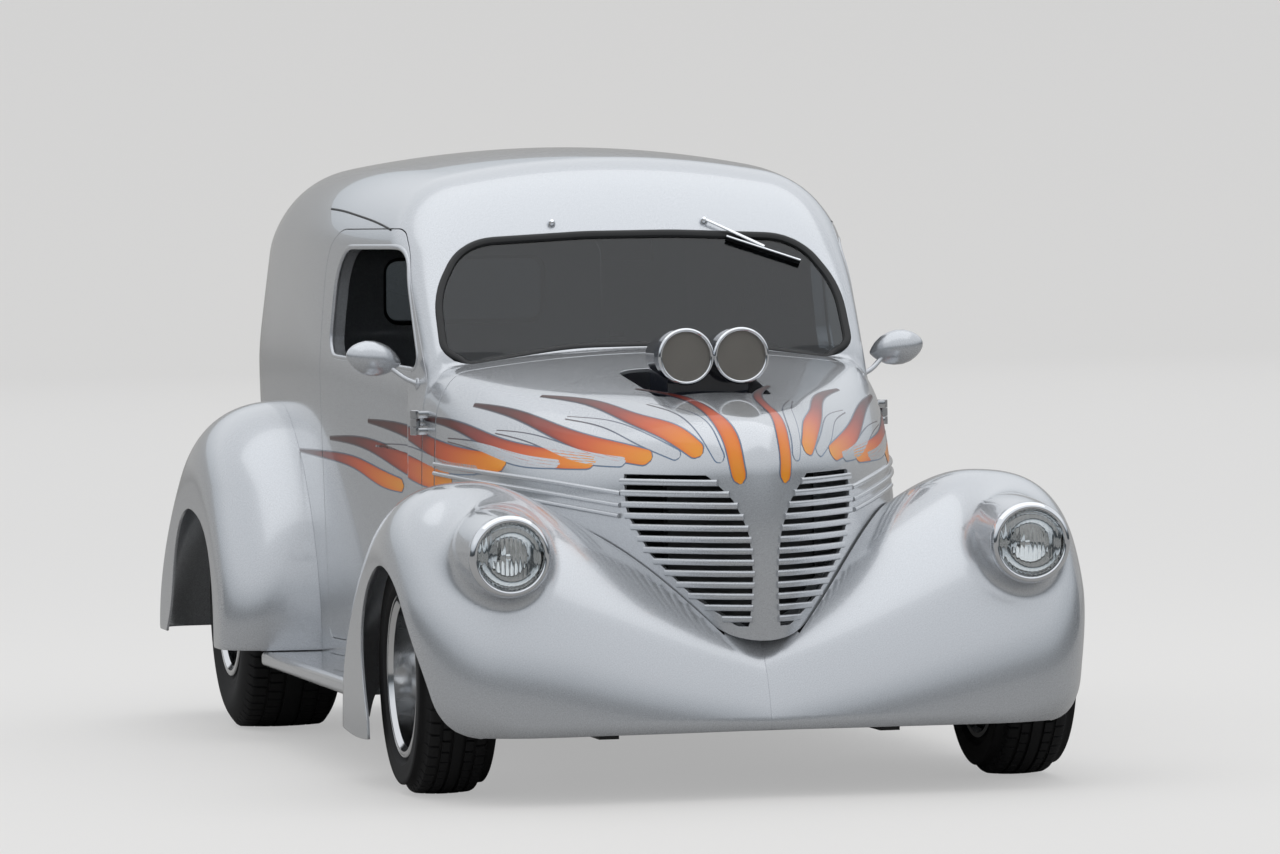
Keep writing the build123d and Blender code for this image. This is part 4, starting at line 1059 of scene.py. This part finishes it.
# Headlights: plated bezel, fluted lens, polished bowl and bulb; profiles of (along, radius)
rearward = (0, 1, 0)
lampPlace = (lamp["x"], lamp["y"], lamp["z"])
bezel = [(-0.010, 0.0835), (-0.0135, 0.0865), (-0.0135, 0.0915), (-0.0095, 0.0965), (-0.002, 0.1005),
         (0.008, 0.1025), (0.012, 0.1015), (0.012, 0.086), (0.0, 0.0835), (-0.010, 0.0835)]
lens = [(-0.0205, 0.0), (-0.0195, 0.025), (-0.0165, 0.050), (-0.0125, 0.070), (-0.0085, 0.0825),
        (-0.0045, 0.0835), (-0.0085, 0.070), (-0.0125, 0.050), (-0.0155, 0.025), (-0.0165, 0.0)]
bowl = [(-0.003, 0.083), (-0.001, 0.085), (0.020, 0.079), (0.043, 0.062), (0.060, 0.038), (0.068, 0.0),
        (0.066, 0.0), (0.058, 0.036), (0.041, 0.060), (0.018, 0.077), (-0.003, 0.083)]
bulb = [(0.014, 0.0), (0.016, 0.007), (0.022, 0.010), (0.030, 0.009), (0.040, 0.006), (0.066, 0.006),
        (0.066, 0.0)]
for name, profiles, material, node in (("lampBezel", [(bezel, 96)], chromePlate, ["headlight"]),
                                       ("lampLens", [(lens, 96)], lampGlass, []),
                                       ("lampBowl", [(bowl, 64), (bulb, 24)], polishedBowl, [])):
    parts = [turned(profile, lampPlace, rearward, segments) for profile, segments in profiles]
    solids(name, parts, material, "root", *node, crease=60)

# Scoop rims and mesh discs
mouth = {"x": 0.071, "y": -1.355, "z": 1.080, "radius": 0.0675, "tube": 0.0055}
turnRing = np.linspace(0, 2 * pi, 17)
rimSection = [(-0.007 - 0.0075 * cos(a), mouth["radius"] - 0.0005 + mouth["tube"] * sin(a)) for a in turnRing]
rimSection[-1] = rimSection[0]
discSection = [(-0.0040, 0.0), (-0.0030, 0.0630), (-0.0008, 0.0635), (-0.0008, 0.0)]
mouths = [(side * (mouth["x"] + 0.0008), mouth["y"], mouth["z"]) for side in (-1, 1)]
rims = [turned(rimSection, place, rearward, 96) for place in mouths]
solid("scoopRims", rims, chromePlate, "root", "scoop_rims", crease=60)
solid("scoopMesh", [turned(discSection, place, rearward) for place in mouths], meshWire, "root")

# Door mirrors: a teardrop head that is flat at the glass, on a bent arm
mirror = {"inner": (0.638, -0.450, 1.060), "outer": (0.785, -0.450, 1.086), "backY": -0.438,
          "foot": (0.606, -0.508, 1.006), "glassX": 0.7135, "glassZ": 1.0735, "glassRadius": 0.0395,
          "glassStretch": 1.5}
run = np.subtract(mirror["outer"], mirror["inner"])
length = np.linalg.norm(run)
# share of the length, radius
headRows = [(0.0, 0.0), (0.01, 0.004), (0.06, 0.014), (0.14, 0.026), (0.26, 0.0375), (0.40, 0.0445),
            (0.55, 0.0470), (0.70, 0.0435), (0.82, 0.0350), (0.91, 0.0250), (0.97, 0.0140), (0.995, 0.0050),
            (1.0, 0.0)]
head = turned([(share * length, radius) for share, radius in headRows], mirror["inner"], run, 48)
head[0][:, 1] = np.minimum(head[0][:, 1], mirror["backY"])
armLine = traced([mirror["foot"], (0.634, -0.492, 1.020), (0.662, -0.470, 1.042), (0.690, -0.458, 1.062)], 14)
arm = swept(armLine, (0, 0, 1), roundProfile(0.0135, 0.0135, steps=5))
foot = turned([(-0.016, 0), (-0.016, 0.019), (0.0, 0.0175), (0.005, 0.013), (0.007, 0)], mirror["foot"],
              (0.96, -0.2, 0.18), 32)
radius = mirror["glassRadius"]
mirrorGlass = turned([(0, 0), (0, radius), (0.0012, radius), (0.0012, 0)],
                     (mirror["glassX"], mirror["backY"] - 0.0006, mirror["glassZ"]), rearward, 48)
fromCentre = mirrorGlass[0][:, 0] - mirror["glassX"]
mirrorGlass[0][:, 0] = mirror["glassX"] + fromCentre * mirror["glassStretch"]
solids("doorMirror", [head, arm, foot], silverPaint, "door", crease=40)
solids("mirrorGlass", [mirrorGlass], polishedBowl, "door")

# Wiper, with a bare second pivot; places on the screen are (x, up the slope)
wiper = {"pivot": (0.208, 0.417), "armEnd": (0.360, 0.325), "bladeStart": (0.262, 0.362),
         "bladeEnd": (0.453, 0.279)}
pivotRow = [(-0.02, 0), (-0.02, 0.012), (0.004, 0.012), (0.008, 0.010), (0.012, 0.0085), (0.016, 0.005),
            (0.017, 0)]


def screenLine(points):
    return settle(shellForm, screenPoint(np.array(points)), 8)


pivots = []
for side in (1, -1):
    place = screenLine([(side * wiper["pivot"][0], wiper["pivot"][1])])
    pivots.append(turned(pivotRow, place[0], gradient(shellForm, place)[0], 24))
up = np.array((0, -sin(screenSlope), cos(screenSlope)))
armPoints = screenLine(np.linspace(wiper["pivot"], wiper["armEnd"], 8))
armPoints = armPoints + up * np.linspace(0.013, 0.0105, 8)[:, None]
bladePoints = screenLine(np.linspace(wiper["bladeStart"], wiper["bladeEnd"], 12))
wiperRods = [swept(armPoints, up, roundProfile(0.009, 0.004)),
             swept(bladePoints + up * 0.009, up, roundProfile(0.006, 0.004))]
solid("wiperArm", pivots + wiperRods, chromePlate, "root")
solid("wiperBlade", [swept(bladePoints - up * 0.001, up, roundProfile(0.004, 0.016))], sealRubber, "root")

# Hinges: barrels in thirds, the middle one on the door, each with its leaf
hinge = {"x": 0.632, "y": -0.604, "radius": 0.0135, "third": 0.022, "gap": 0.0004, "height": 0.906}
rearHinge = {"x": 0.438, "y": 1.985, "radius": 0.010, "leaf": 0.045, "heights": (1.060, 0.730)}


def barrel(of, z, third, segments):
    # the third counts from the middle one; also returns the leaf's lowest and highest z
    low = z + (third - 0.5) * hinge["third"] + hinge["gap"]
    high = low + hinge["third"] - 2 * hinge["gap"]
    rod = rodPart((of["x"], of["y"], low), (of["x"], of["y"], high), of["radius"], segments)
    return rod, low + 0.001, high - 0.001


doorSide, cowlSide = [], []
for third, parts, front, rear in ((0, doorSide, hinge["y"] + 0.004, -0.566),
                                  (-1, cowlSide, -0.642, hinge["y"] - 0.004),
                                  (1, cowlSide, -0.642, hinge["y"] - 0.004)):
    rod, low, high = barrel(hinge, hinge["height"], third, 28)
    parts += [rod, block((0.586, front, low), (0.630, rear, high))]
solids("doorHinge", doorSide, polishedSteel, "door")
solids("cowlHinge", cowlSide, polishedSteel, "root")
for body, thirds, side in (("rear_door", (0,), -1), ("root", (-1, 1), 1)):
    parts = []
    for z in rearHinge["heights"]:
        for third in thirds:
            rod, low, high = barrel(rearHinge, z, third, 24)
            ends = sorted((rearHinge["x"], rearHinge["x"] + side * rearHinge["leaf"]))
            parts += [rod, block((ends[0], 1.925, low), (ends[1], 1.990, high))]
    solid("rearHinge" + body, parts, polishedSteel, body)

# Firewall under the hood, a plain sheet up to the cowl
firewall = {"half": 0.585, "y": -0.694, "foot": 0.30, "drop": 0.030, "cornerX": 0.56, "cornerZ": 0.80,
            "thickness": 0.006, "columns": 41}
wallX = np.linspace(-firewall["half"], firewall["half"], firewall["columns"])
cowlTop = onto(shellForm, np.stack([wallX, 0 * wallX - 0.68, 0 * wallX + 1.05], 1), 2)[:, 2]
top = np.where(np.abs(wallX) > firewall["cornerX"], firewall["cornerZ"], cowlTop - firewall["drop"])
sheet = np.stack([np.stack([wallX, 0 * wallX + firewall["y"], z], 1)
                  for z in (0 * wallX + firewall["foot"], top)], 1).reshape(-1, 3)
faces = triangles(gridQuads(firewall["columns"], 2)[:, ::-1])
solid("firewall", [(sheet, faces), (sheet + (0, firewall["thickness"], 0), faces[:, ::-1])], silverPaint,
      "root")

# Drip lines over the doors
dripLine = settle(shellForm, traced([(0.650, 0.496, 1.470), (0.645, 0.319, 1.463), (0.636, 0.168, 1.451),
                                     (0.624, 0.020, 1.437), (0.614, -0.103, 1.422),
                                     (0.608, -0.174, 1.411)], 32), 8)
drip = swept(dripLine, shellNormal(dripLine), roundProfile(0.006, 0.005, 0.0005))
solids("dripLine", [drip], sealRubber, "root")

# Rear door handle: a bar on two turned feet
handle = [(0.0, 0.0), (0.0, 0.018), (0.004, 0.020), (0.010, 0.012), (0.034, 0.010), (0.036, 0.0)]
bar = traced([(-0.375, 2.018, 0.905), (-0.372, 2.022, 0.880),
              (-0.372, 2.022, 0.820), (-0.375, 2.018, 0.790)], 16)
solid("rearHandle", [turned(handle, (-0.372, 1.974, z), rearward, 32) for z in (0.905, 0.790)]
      + [swept(bar, rearward, roundProfile(0.018, 0.012))], chromePlate, "rear_door")

# Wheels: tyres with a cut tread and a rim rib; rolled lips, centre caps and lug nuts on the polished rims
tread = {"shoulder": 0.034, "bead": 0.016, "beadRadius": 0.205, "depth": 0.007, "groove": 0.0042,
         "crown": 0.004, "sideCut": 0.024, "grooves": (-0.66, -0.24, 0.24, 0.66),
         "pitches": {"front": 54, "rear": 64}}
wheelParts = {"lipRadius": 0.2035, "lipTube": 0.0055, "hubStep": 0.040,
              "discInset": {"front": 0.030, "rear": 0.020}, "nutCircle": 0.046, "nutRadius": 0.0105,
              "nutHeight": 0.022}
# the cap's profile as (along, radius) from the disc
capRows = [(-0.002, 0), (-0.002, 0.031), (0.006, 0.031), (0.010, 0.028), (0.022, 0.024), (0.032, 0.016),
           (0.037, 0.006), (0.038, 0)]


def tyrePart(low, high, pitches):
    centre = (low + high) / 2
    half, radius = (high[0] - low[0]) / 2, (high[2] - low[2]) / 2
    shoulder, bead = half - tread["shoulder"], half - tread["bead"]
    middle = (tread["beadRadius"] + radius) / 2
    side = traced([(shoulder + 0.006, radius - 0.007), (half - 0.014, radius - 0.026),
                   (half - 0.002, middle + 0.022), (half, middle), (half - 0.005, middle - 0.028),
                   (bead + 0.001, 0.214), (bead - 0.001, tread["beadRadius"])], 22)
    side[:, 0] += 0.0028 * np.exp(-((side[:, 1] - 0.224) / 0.004) ** 2)
    sideCut = np.clip((side[:, 1] - radius + tread["sideCut"]) / 0.012, 0, 1)
    rows = [(-a, r, cut, 0.0) for (a, r), cut in zip(side[::-1], sideCut[::-1])]
    centres = [share * shoulder for share in tread["grooves"]]
    starts = [-shoulder] + [c + tread["groove"] for c in centres]
    ends = [c - tread["groove"] for c in centres] + [shoulder]
    for index, (start, end) in enumerate(zip(starts, ends)):
        for a in np.linspace(start, end, 4):
            crowned = radius - tread["crown"] * (a / shoulder) ** 2
            rows.append((a, crowned, 0.0 if index == 2 else 1.0, 0.5 * (index % 2)))
        if index < len(centres):
            floorHalf = tread["groove"] * 0.7
            rows += [(centres[index] + u * floorHalf, radius - tread["depth"], 0.0, 0.0) for u in (-1, 1)]
    rows += [(a, r, cut, 0.0) for (a, r), cut in zip(side, sideCut)]
    rows += [(bead - 0.001, 0.191, 0.0, 0.0), (1e-3 - bead, 0.191, 0.0, 0.0)]
    across, reach, cut, phase = np.array(rows).T
    # five points a pitch: two in the cross groove, three on the block
    share = np.array((0.0, 0.14, 0.17, 0.57, 0.97))
    turn = (np.arange(pitches)[:, None] + share[None, :]).ravel()
    inGroove = np.tile((1.0, 1.0, 0.0, 0.0, 0.0), pitches)
    angle = 2 * pi / pitches * (turn[:, None] + phase[None, :])
    reach = reach[None, :] - inGroove[:, None] * cut[None, :] * tread["depth"]
    points = np.stack([centre[0] + across[None, :] + 0 * angle, centre[1] + reach * np.cos(angle),
                       centre[2] + reach * np.sin(angle)], 2)
    return points.reshape(-1, 3), triangles(gridQuads(len(turn), len(rows), True, True)[:, [0, 3, 2, 1]])


nutTree, source, sink = groupOf("lugNuts", [
    ("Place", "Vector", None), ("Turn", "Vector", None), ("Count", "Int", 5),
    ("Circle Radius", "Float", 0.046), ("Nut Radius", "Float", 0.0105), ("Nut Height", "Float", 0.022),
    ("Material", "Material", None)])
ring = addNode(nutTree, "GeometryNodeMeshCircle",
               links={"Vertices": source["Count"], "Radius": source["Circle Radius"]})
nut = addNode(nutTree, "GeometryNodeMeshCone", {"Vertices": 6, "Side Segments": 1},
              {"Radius Bottom": source["Nut Radius"], "Depth": source["Nut Height"]})
crownRadius = addNode(nutTree, "ShaderNodeMath", {"operation": "MULTIPLY", 1: 0.72},
                      {0: source["Nut Radius"]})
nutTree.links.new(crownRadius.outputs[0], nut.inputs["Radius Top"])
nuts = addNode(nutTree, "GeometryNodeInstanceOnPoints",
               links={"Points": ring.outputs[0], "Instance": nut.outputs[0]})
nuts = addNode(nutTree, "GeometryNodeRealizeInstances", links={"Geometry": nuts.outputs[0]})
nuts = addNode(nutTree, "GeometryNodeTransform",
               links={"Geometry": nuts.outputs[0], "Translation": source["Place"],
                      "Rotation": source["Turn"]})
nuts = addNode(nutTree, "GeometryNodeSetMaterial",
               links={"Geometry": nuts.outputs[0], "Material": source["Material"]})
nutTree.links.new(nuts.outputs[0], sink["Geometry"])

for end, side, way in (("front", "left", 1), ("front", "right", -1), ("rear", "left", 1),
                       ("rear", "right", -1)):
    tyreNode, body, label = end + "_tyre_" + side, "wheel_" + end + "_" + side, end.title() + side
    low, high = (np.array(corner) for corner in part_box(tyreNode))
    solid("tyre" + label, [tyrePart(low, high, tread["pitches"][end])], tyreRubber, body, tyreNode)
    centre, axis = (low + high) / 2, (way, 0, 0)
    lipAt = (high[0] - low[0]) / 2 - tread["bead"] + 0.004
    hub = wheelParts["hubStep"] - wheelParts["discInset"][end]
    lip = [(lipAt + wheelParts["lipTube"] * sin(a), wheelParts["lipRadius"] + wheelParts["lipTube"] * cos(a))
           for a in turnRing[::-1]]
    cap = [(hub + along, radius) for along, radius in capRows]
    trim = [turned(lip, centre, axis, 96), turned(cap, centre, axis, 40)]
    solid("rimTrim" + label, trim, rimMetal, body, crease=50)
    nutPiece = lineObject("lugNuts" + label, [np.array([(0, 0, 0), (0, 0, 0.001)])])
    grownBy(nutPiece, nutTree, {
        "Place": (centre[0] + way * (hub - 0.001), centre[1], centre[2]), "Turn": (0, way * pi / 2, 0),
        "Circle Radius": wheelParts["nutCircle"], "Nut Radius": wheelParts["nutRadius"],
        "Nut Height": wheelParts["nutHeight"], "Material": chromePlate})
    settled(nutPiece, body)
print("wheels done")

# Door windows: the panel's edge rolls inwards round each opening
ring = resampled(windowRing, 0.016)
line = onto(shellForm, np.concatenate([np.full((len(ring), 1), 0.62), ring], 1), 0)
roll = swept(line, shellNormal(line), roundProfile(0.016, 0.013, -0.0045), True)
solids("windowRoll", [roll], silverPaint, "door")

# Sill strips below the doors, a little proud of the body
skinned("sillStrip", silverPaint, ["root"],
        grown(shellForm, 0.004), (0.30, -0.62, 0.22), (0.80, 0.40, 0.32), 0.012,
        [above("z", 0.2515), below("z", 0.2905), above("y", -0.586), below("y", 0.350)], 0.0035, both=True)

# Seats: crowned leather cushions with sewn channels, each on a plain plinth
seat = {"across": (0.062, 0.538), "plinth": 0.062, "baseRear": 0.365, "baseTop": 0.208, "backFoot": 0.150,
        "backTop": 0.695, "backFront": 0.345, "backDepth": 0.118, "lean": 0.185, "crown": 0.016,
        "channels": 5, "channelDepth": 0.009, "channelWidth": 0.010, "squareness": 7.0, "grid": 44,
        "pullIn": 0.010}


def cushion(low, high, face, way, lean=0.0):
    # a rounded body, crowned on its sitting face and drawn in along its channels
    low, high = np.array(low), np.array(high)
    t = np.tan(np.linspace(-pi / 4, pi / 4, seat["grid"] + 1))
    a, b = (grid.ravel() for grid in np.meshgrid(t, t, indexing="ij"))
    quads = gridQuads(len(t), len(t))[:, ::-1]
    corners, faces = [], []
    for axis in range(3):
        for sign in (-1, 1):
            panel = np.empty((len(a), 3))
            panel[:, axis], panel[:, (axis + 1) % 3], panel[:, (axis + 2) % 3] = sign, a * sign, b
            faces.append(quads + len(a) * len(corners))
            corners.append(panel)
    corners, back = np.unique(np.round(np.concatenate(corners), 7), axis=0, return_inverse=True)
    power = seat["squareness"]
    shape = corners / (np.abs(corners) ** power).sum(1, keepdims=True) ** (1 / power)
    half = (high - low) / 2
    points = (low + high) / 2 + shape * half
    other = 3 - face
    cover = np.clip((shape[:, face] * way - 0.55) / 0.4, 0, 1)
    u, v = shape[:, 0], shape[:, other]
    crowned = seat["crown"] * (1 - u ** 2) * (1 - v ** 2)
    lines = np.linspace(-1, 1, seat["channels"] + 2)[1:-1] * half[0]
    drawn = sum(np.exp(-((u * half[0] - place) / seat["channelWidth"]) ** 2) for place in lines)
    drawn = drawn * np.clip((1 - v ** 2) * 4, 0, 1)
    points[:, face] += way * cover * (crowned - seat["channelDepth"] * drawn - seat["crown"])
    points[:, 0] -= seat["pullIn"] * u * (1 - v ** 2)
    points[:, other] -= seat["pullIn"] * v * (1 - u ** 2)
    points[:, 1] += lean * (points[:, 2] - low[2])
    return points, triangles(back.ravel()[np.concatenate(faces)])


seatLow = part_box("seats")[0]
ground, front = seatLow[2], seatLow[1]
for label, way in (("Left", 1), ("Right", -1)):
    left, right = sorted(way * edge for edge in seat["across"])
    base = cushion((left, front + 0.002, ground + seat["plinth"]),
                   (right, seat["baseRear"], ground + seat["baseTop"]), 2, 1)
    rest = cushion((left, seat["backFront"], ground + seat["backFoot"]),
                   (right, seat["backFront"] + seat["backDepth"], ground + seat["backTop"]), 1, -1,
                   seat["lean"])
    for name, part in (("seatBase", base), ("seatBack", rest)):
        solid(name + label, [part], seatLeather, "root", "seats", crease=80)
    plinth = block((left + 0.03, front + 0.03, ground),
                   (right - 0.03, seat["baseRear"] + 0.02, ground + seat["plinth"] + 0.004), 0.006)
    solid("seatPlinth" + label, [plinth], darkPaint, "root")

# Cabin mirror under the header, its back to the screen
stem = rodPart((0.008, -0.300, 1.366), (0.008, -0.285, 1.440), 0.005)
head = block((-0.062, -0.306, 1.318), (0.078, -0.294, 1.374), 0.005)
solid("cabinMirror", [head, stem], sealRubber, "root")

# Tail lamps and exhausts
lampAt = onto(shellForm, [(0.500, 1.90, 0.640)], 1)[0]
tailBezel = [(-0.020, 0.0), (-0.020, 0.045), (0.010, 0.044), (0.016, 0.040), (0.016, 0.037), (0.010, 0.036),
             (0.010, 0.0)]
tailLens = [(0.008, 0.0), (0.008, 0.0365), (0.018, 0.035), (0.026, 0.027), (0.030, 0.014), (0.031, 0.0)]
solids("tailLampBezel", [turned(tailBezel, lampAt, rearward, 48)], chromePlate, "root")
solids("tailLampLens", [turned(tailLens, lampAt, rearward, 48)], redLens, "root")
exhaust = {"x": 0.240, "z": 0.196, "radius": 0.026, "wall": 0.003, "bore": 0.15, "front": -0.190,
           "rear": 1.390}
radius, bore = exhaust["radius"], exhaust["radius"] - exhaust["wall"]
length = exhaust["rear"] - exhaust["front"]
pipe = [(0, 0), (0, radius), (length, radius), (length, bore), (length - exhaust["bore"], bore),
        (length - exhaust["bore"], 0)]
muffler = block((exhaust["x"] - 0.065, -0.120, 0.158), (exhaust["x"] + 0.065, 0.330, 0.232), 0.026)
solids("exhaust", [turned(pipe, (exhaust["x"], exhaust["front"], exhaust["z"]), rearward, 32), muffler],
       machinedSteel, "root")

# Flames: licks laid on the form, each a pinstriped edge under its own paint
# each lick from its round front to its tail: x, y, z and half width in mm
flameLicks = {
    "fill": [
        [(55, -1881, 774, 13), (65, -1841, 867, 14), (78, -1674, 942, 10), (106, -1392, 982, 7),
         (174, -1229, 997, 2)],
        [(132, -1788, 845, 15), (178, -1658, 897, 18), (241, -1458, 933, 13), (304, -1248, 968, 9),
         (392, -1086, 981, 2)],
        [(229, -1655, 833, 15), (303, -1501, 853, 18), (383, -1298, 889, 14), (455, -1094, 934, 9),
         (530, -894, 957, 2)],
        [(334, -1476, 823, 14), (421, -1302, 829, 18), (504, -1096, 856, 14), (561, -883, 898, 9),
         (608, -603, 918, 2)],
        [(499, -1146, 814, 16), (558, -942, 814, 22), (599, -692, 841, 18), (624, -398, 881, 11),
         (666, -97, 899, 2)],
        [(582, -842, 757, 16), (612, -609, 771, 22), (633, -324, 805, 18), (666, -90, 836, 11),
         (708, 265, 844, 2)],
        [(624, -383, 732, 12), (649, -199, 748, 16), (678, 4, 780, 12), (704, 230, 795, 8),
         (721, 679, 799, 2)]],
    "open": [
        [(93, -1840, 828, 9), (112, -1750, 900, 12), (138, -1578, 946, 8), (186, -1421, 964, 2)],
        [(175, -1734, 839, 9), (235, -1590, 879, 12), (292, -1409, 915, 8), (364, -1260, 929, 2)],
        [(279, -1577, 824, 9), (361, -1410, 836, 12), (435, -1224, 873, 8), (505, -1053, 891, 2)],
        [(401, -1354, 815, 8), (473, -1200, 823, 11), (531, -1024, 849, 8), (582, -799, 865, 2)],
        [(545, -1007, 793, 8), (590, -777, 797, 11), (621, -493, 826, 8), (656, -157, 833, 2)]]}
flame = {"swell": 1.35, "line": 0.0034, "lineRise": 0.0004, "fillRise": 0.0008, "rows": 70, "columns": 7}
# the stretch of y that each panel has to itself
panels = [("hood", -3.0, -0.7068), ("root", -0.6995, -0.5948), ("door", -0.5888, 0.3490),
          ("root", 0.3570, 3.0)]
flameParts = {}


def lickGrid(rows, grow):
    line = traced(np.array(rows) / 1000, flame["rows"])
    place = settle(shellForm, line[:, :3], 10)
    along = unit(np.gradient(place, axis=0))
    travel = np.concatenate([[0], np.cumsum(np.linalg.norm(np.diff(place, axis=0), axis=1))])
    cap = line[0, 3] * flame["swell"] * 1.4
    rounding = np.sqrt(np.clip(1 - (1 - np.clip(travel / cap, 0.02, 1)) ** 2, 0, 1))
    width = line[:, 3] * flame["swell"] * rounding + grow
    across = unit(np.cross(gradient(shellForm, place), along))
    offsets = np.linspace(-1, 1, flame["columns"])
    grid = place[:, None] + across[:, None] * (offsets[None, :] * width[:, None])[..., None]
    return grid, travel / travel[-1]


def layLick(layer, rows, grow, rise):
    # cuts the lick straight at the panel gaps and lays each piece on the form
    grid, share = lickGrid(rows, grow)
    for panel, front, rear in panels:
        ends = np.array([np.interp((front, rear), grid[:, k, 1], share) for k in range(flame["columns"])])
        span = ends[:, 1] - ends[:, 0]
        if span.min() < 0.004:
            continue
        steps = np.linspace(0, 1, max(3, int(flame["rows"] * span.max())))
        at = ends[:, 0] + span * steps[:, None]
        points = np.stack([[np.interp(at[:, k], share, grid[:, k, i]) for k in range(flame["columns"])]
                           for i in range(3)])
        points = settle(shellForm, points.transpose(2, 1, 0).reshape(-1, 3), 6)
        points = points + unit(gradient(shellForm, points)) * rise
        faces = triangles(gridQuads(len(steps), flame["columns"]))[:, ::-1]
        edge = np.abs(np.linspace(-1, 1, flame["columns"])) + 0 * at
        onLick = np.stack([at.ravel(), edge.ravel()], 1)
        flameParts.setdefault((layer, panel), []).append((points, faces, onLick))


for kind, licks in flameLicks.items():
    for rows in licks:
        layLick("line", rows, flame["line"], flame["lineRise"])
        layLick(kind, rows, 0.0, flame["fillRise"])
for (layer, stretch), parts in flameParts.items():
    material = {"line": flameLine, "fill": flamePaint, "open": silverPaint}[layer]
    points, faces = merged(*[part[:2] for part in parts])
    onLick = np.concatenate([part[2] for part in parts])
    data = (points, faces, shellNormal(points)[faces])
    for side, shape in (("Left", data), ("Right", mirroredData(*data))):
        piece = meshObject("flame" + layer.title() + stretch.title() + side, material, *shape)
        piece.data.uv_layers.new(name="lick").data.foreach_set(
            "uv", onLick[shape[1].ravel()].astype(np.float32).ravel())
        settled(piece, "door_" + side.lower() if stretch == "door" else stretch)
print("flames:", len(flameParts) * 2, "sheets")

# Floor, light and camera
studio = {"half": 60.0, "wallY": 54.0, "curve": 9.0, "height": 12.0, "floorColour": "9c9a97",
          "cameraLift": 0.40, "wallLift": 0.12, "skyStrength": 0.95}
bend = np.linspace(0, pi / 2, 25)
sweep = [(-studio["half"], 0.0)]
sweep += [(studio["wallY"] - studio["curve"] * (1 - sin(a)), studio["curve"] * (1 - cos(a))) for a in bend]
sweep.append((studio["wallY"], studio["height"]))
points = np.array([[(side * studio["half"], y, z) for side in (-1, 1)] for y, z in sweep])
floor = meshObject("studioSweep", None, points.reshape(-1, 3), gridQuads(len(sweep), 2)[:, ::-1])
floorMaterial, tree, shader = newMaterial("palePaper", None, {
    "Base Color": studio["floorColour"], "Roughness": 0.8, "Emission Color": "ffffff"})
floor.data.materials.append(floorMaterial)
# paler to the camera than in the paint, which then keeps its contrast
rays = tree.nodes.new("ShaderNodeLightPath").outputs
lift = addNode(tree, "ShaderNodeMath", {"operation": "MULTIPLY", 1: studio["cameraLift"]},
               {0: rays["Is Camera Ray"]})
place = addNode(tree, "ShaderNodeSeparateXYZ",
                links={0: tree.nodes.new("ShaderNodeNewGeometry").outputs["Position"]})
wallLight = addNode(tree, "ShaderNodeMapRange",
                    {"From Min": 0.3, "From Max": 2.0, "To Max": studio["wallLift"]},
                    {"Value": place.outputs["Z"]})
wallLight = addNode(tree, "ShaderNodeMath", {"operation": "MULTIPLY"},
                    {0: rays["Is Glossy Ray"], 1: wallLight.outputs["Result"]})
lift = addNode(tree, "ShaderNodeMath", {"operation": "ADD"}, {0: lift.outputs[0], 1: wallLight.outputs[0]})
tree.links.new(lift.outputs[0], shader.inputs["Emission Strength"])

# the sky is pale to the camera; in the paint it shows a darker skyline under a bright top, as outdoors
world = bpy.data.worlds.new("softSky")
scene.world = world
world.use_nodes = True
tree = world.node_tree
background = tree.nodes["Background"]
background.inputs["Color"].default_value = linear("f3f5f8")
background.inputs["Strength"].default_value = studio["skyStrength"]
height = addNode(tree, "ShaderNodeSeparateXYZ",
                 links={"Vector": tree.nodes.new("ShaderNodeTexCoord").outputs["Generated"]})
ramp = addNode(tree, "ShaderNodeValToRGB", {"stops": [
    (0, "6f7173"), (0.02, "3c4043"), (0.11, "565b5f"), (0.19, "c2c8ce"), (0.40, "f2f5f9"), (1, "f4f7fb")]},
               {"Fac": height.outputs["Z"]})
reflected = addNode(tree, "ShaderNodeBackground", {"Strength": 1.0}, {"Color": ramp.outputs["Color"]})
paper = addNode(tree, "ShaderNodeBackground", {"Color": linear("dcdbd9"), "Strength": 1.0})
rays = tree.nodes.new("ShaderNodeLightPath").outputs
blend = background
for ray, other in (("Is Glossy Ray", reflected), ("Is Camera Ray", paper)):
    blend = addNode(tree, "ShaderNodeMixShader",
                    links={0: rays[ray], 1: blend.outputs[0], 2: other.outputs[0]})
tree.links.new(blend.outputs[0], tree.nodes["World Output"].inputs["Surface"])

# one soft panel overhead
overhead = {"width": 11.0, "depth": 9.0, "power": 150.0, "height": 7.0}
panelData = bpy.data.lights.new("skyPanel", "AREA")
panelData.shape = "RECTANGLE"
panelData.size, panelData.size_y = overhead["width"], overhead["depth"]
panelData.energy = overhead["power"]
skyPanel = bpy.data.objects.new("skyPanel", panelData)
scene.collection.objects.link(skyPanel)
skyPanel.location = (0.0, 0.0, overhead["height"])

# camera as fitted to the photograph
view = {"place": (-4.10, -19.23, 1.46), "yaw": 12.33, "pitch": -1.74, "roll": -0.98, "focalPixels": 7226.0,
        "widthPixels": 1280}
yaw, pitch, roll = (radians(view[key]) for key in ("yaw", "pitch", "roll"))
ahead = Vector((sin(yaw) * cos(pitch), cos(yaw) * cos(pitch), sin(pitch)))
level = Vector((cos(yaw), -sin(yaw), 0.0))
upward = level.cross(ahead)
right = level * cos(roll) + upward * sin(roll)
top = upward * cos(roll) - level * sin(roll)
cameraData = bpy.data.cameras.new("photoCamera")
camera = bpy.data.objects.new("photoCamera", cameraData)
scene.collection.objects.link(camera)
camera.matrix_world = Matrix((right, top, -ahead)).transposed().to_4x4()
camera.location = view["place"]
cameraData.sensor_width = 36.0
cameraData.lens = view["focalPixels"] / view["widthPixels"] * cameraData.sensor_width
cameraData.clip_end = 200.0
scene.camera = camera
scene.view_settings.view_transform = "Standard"
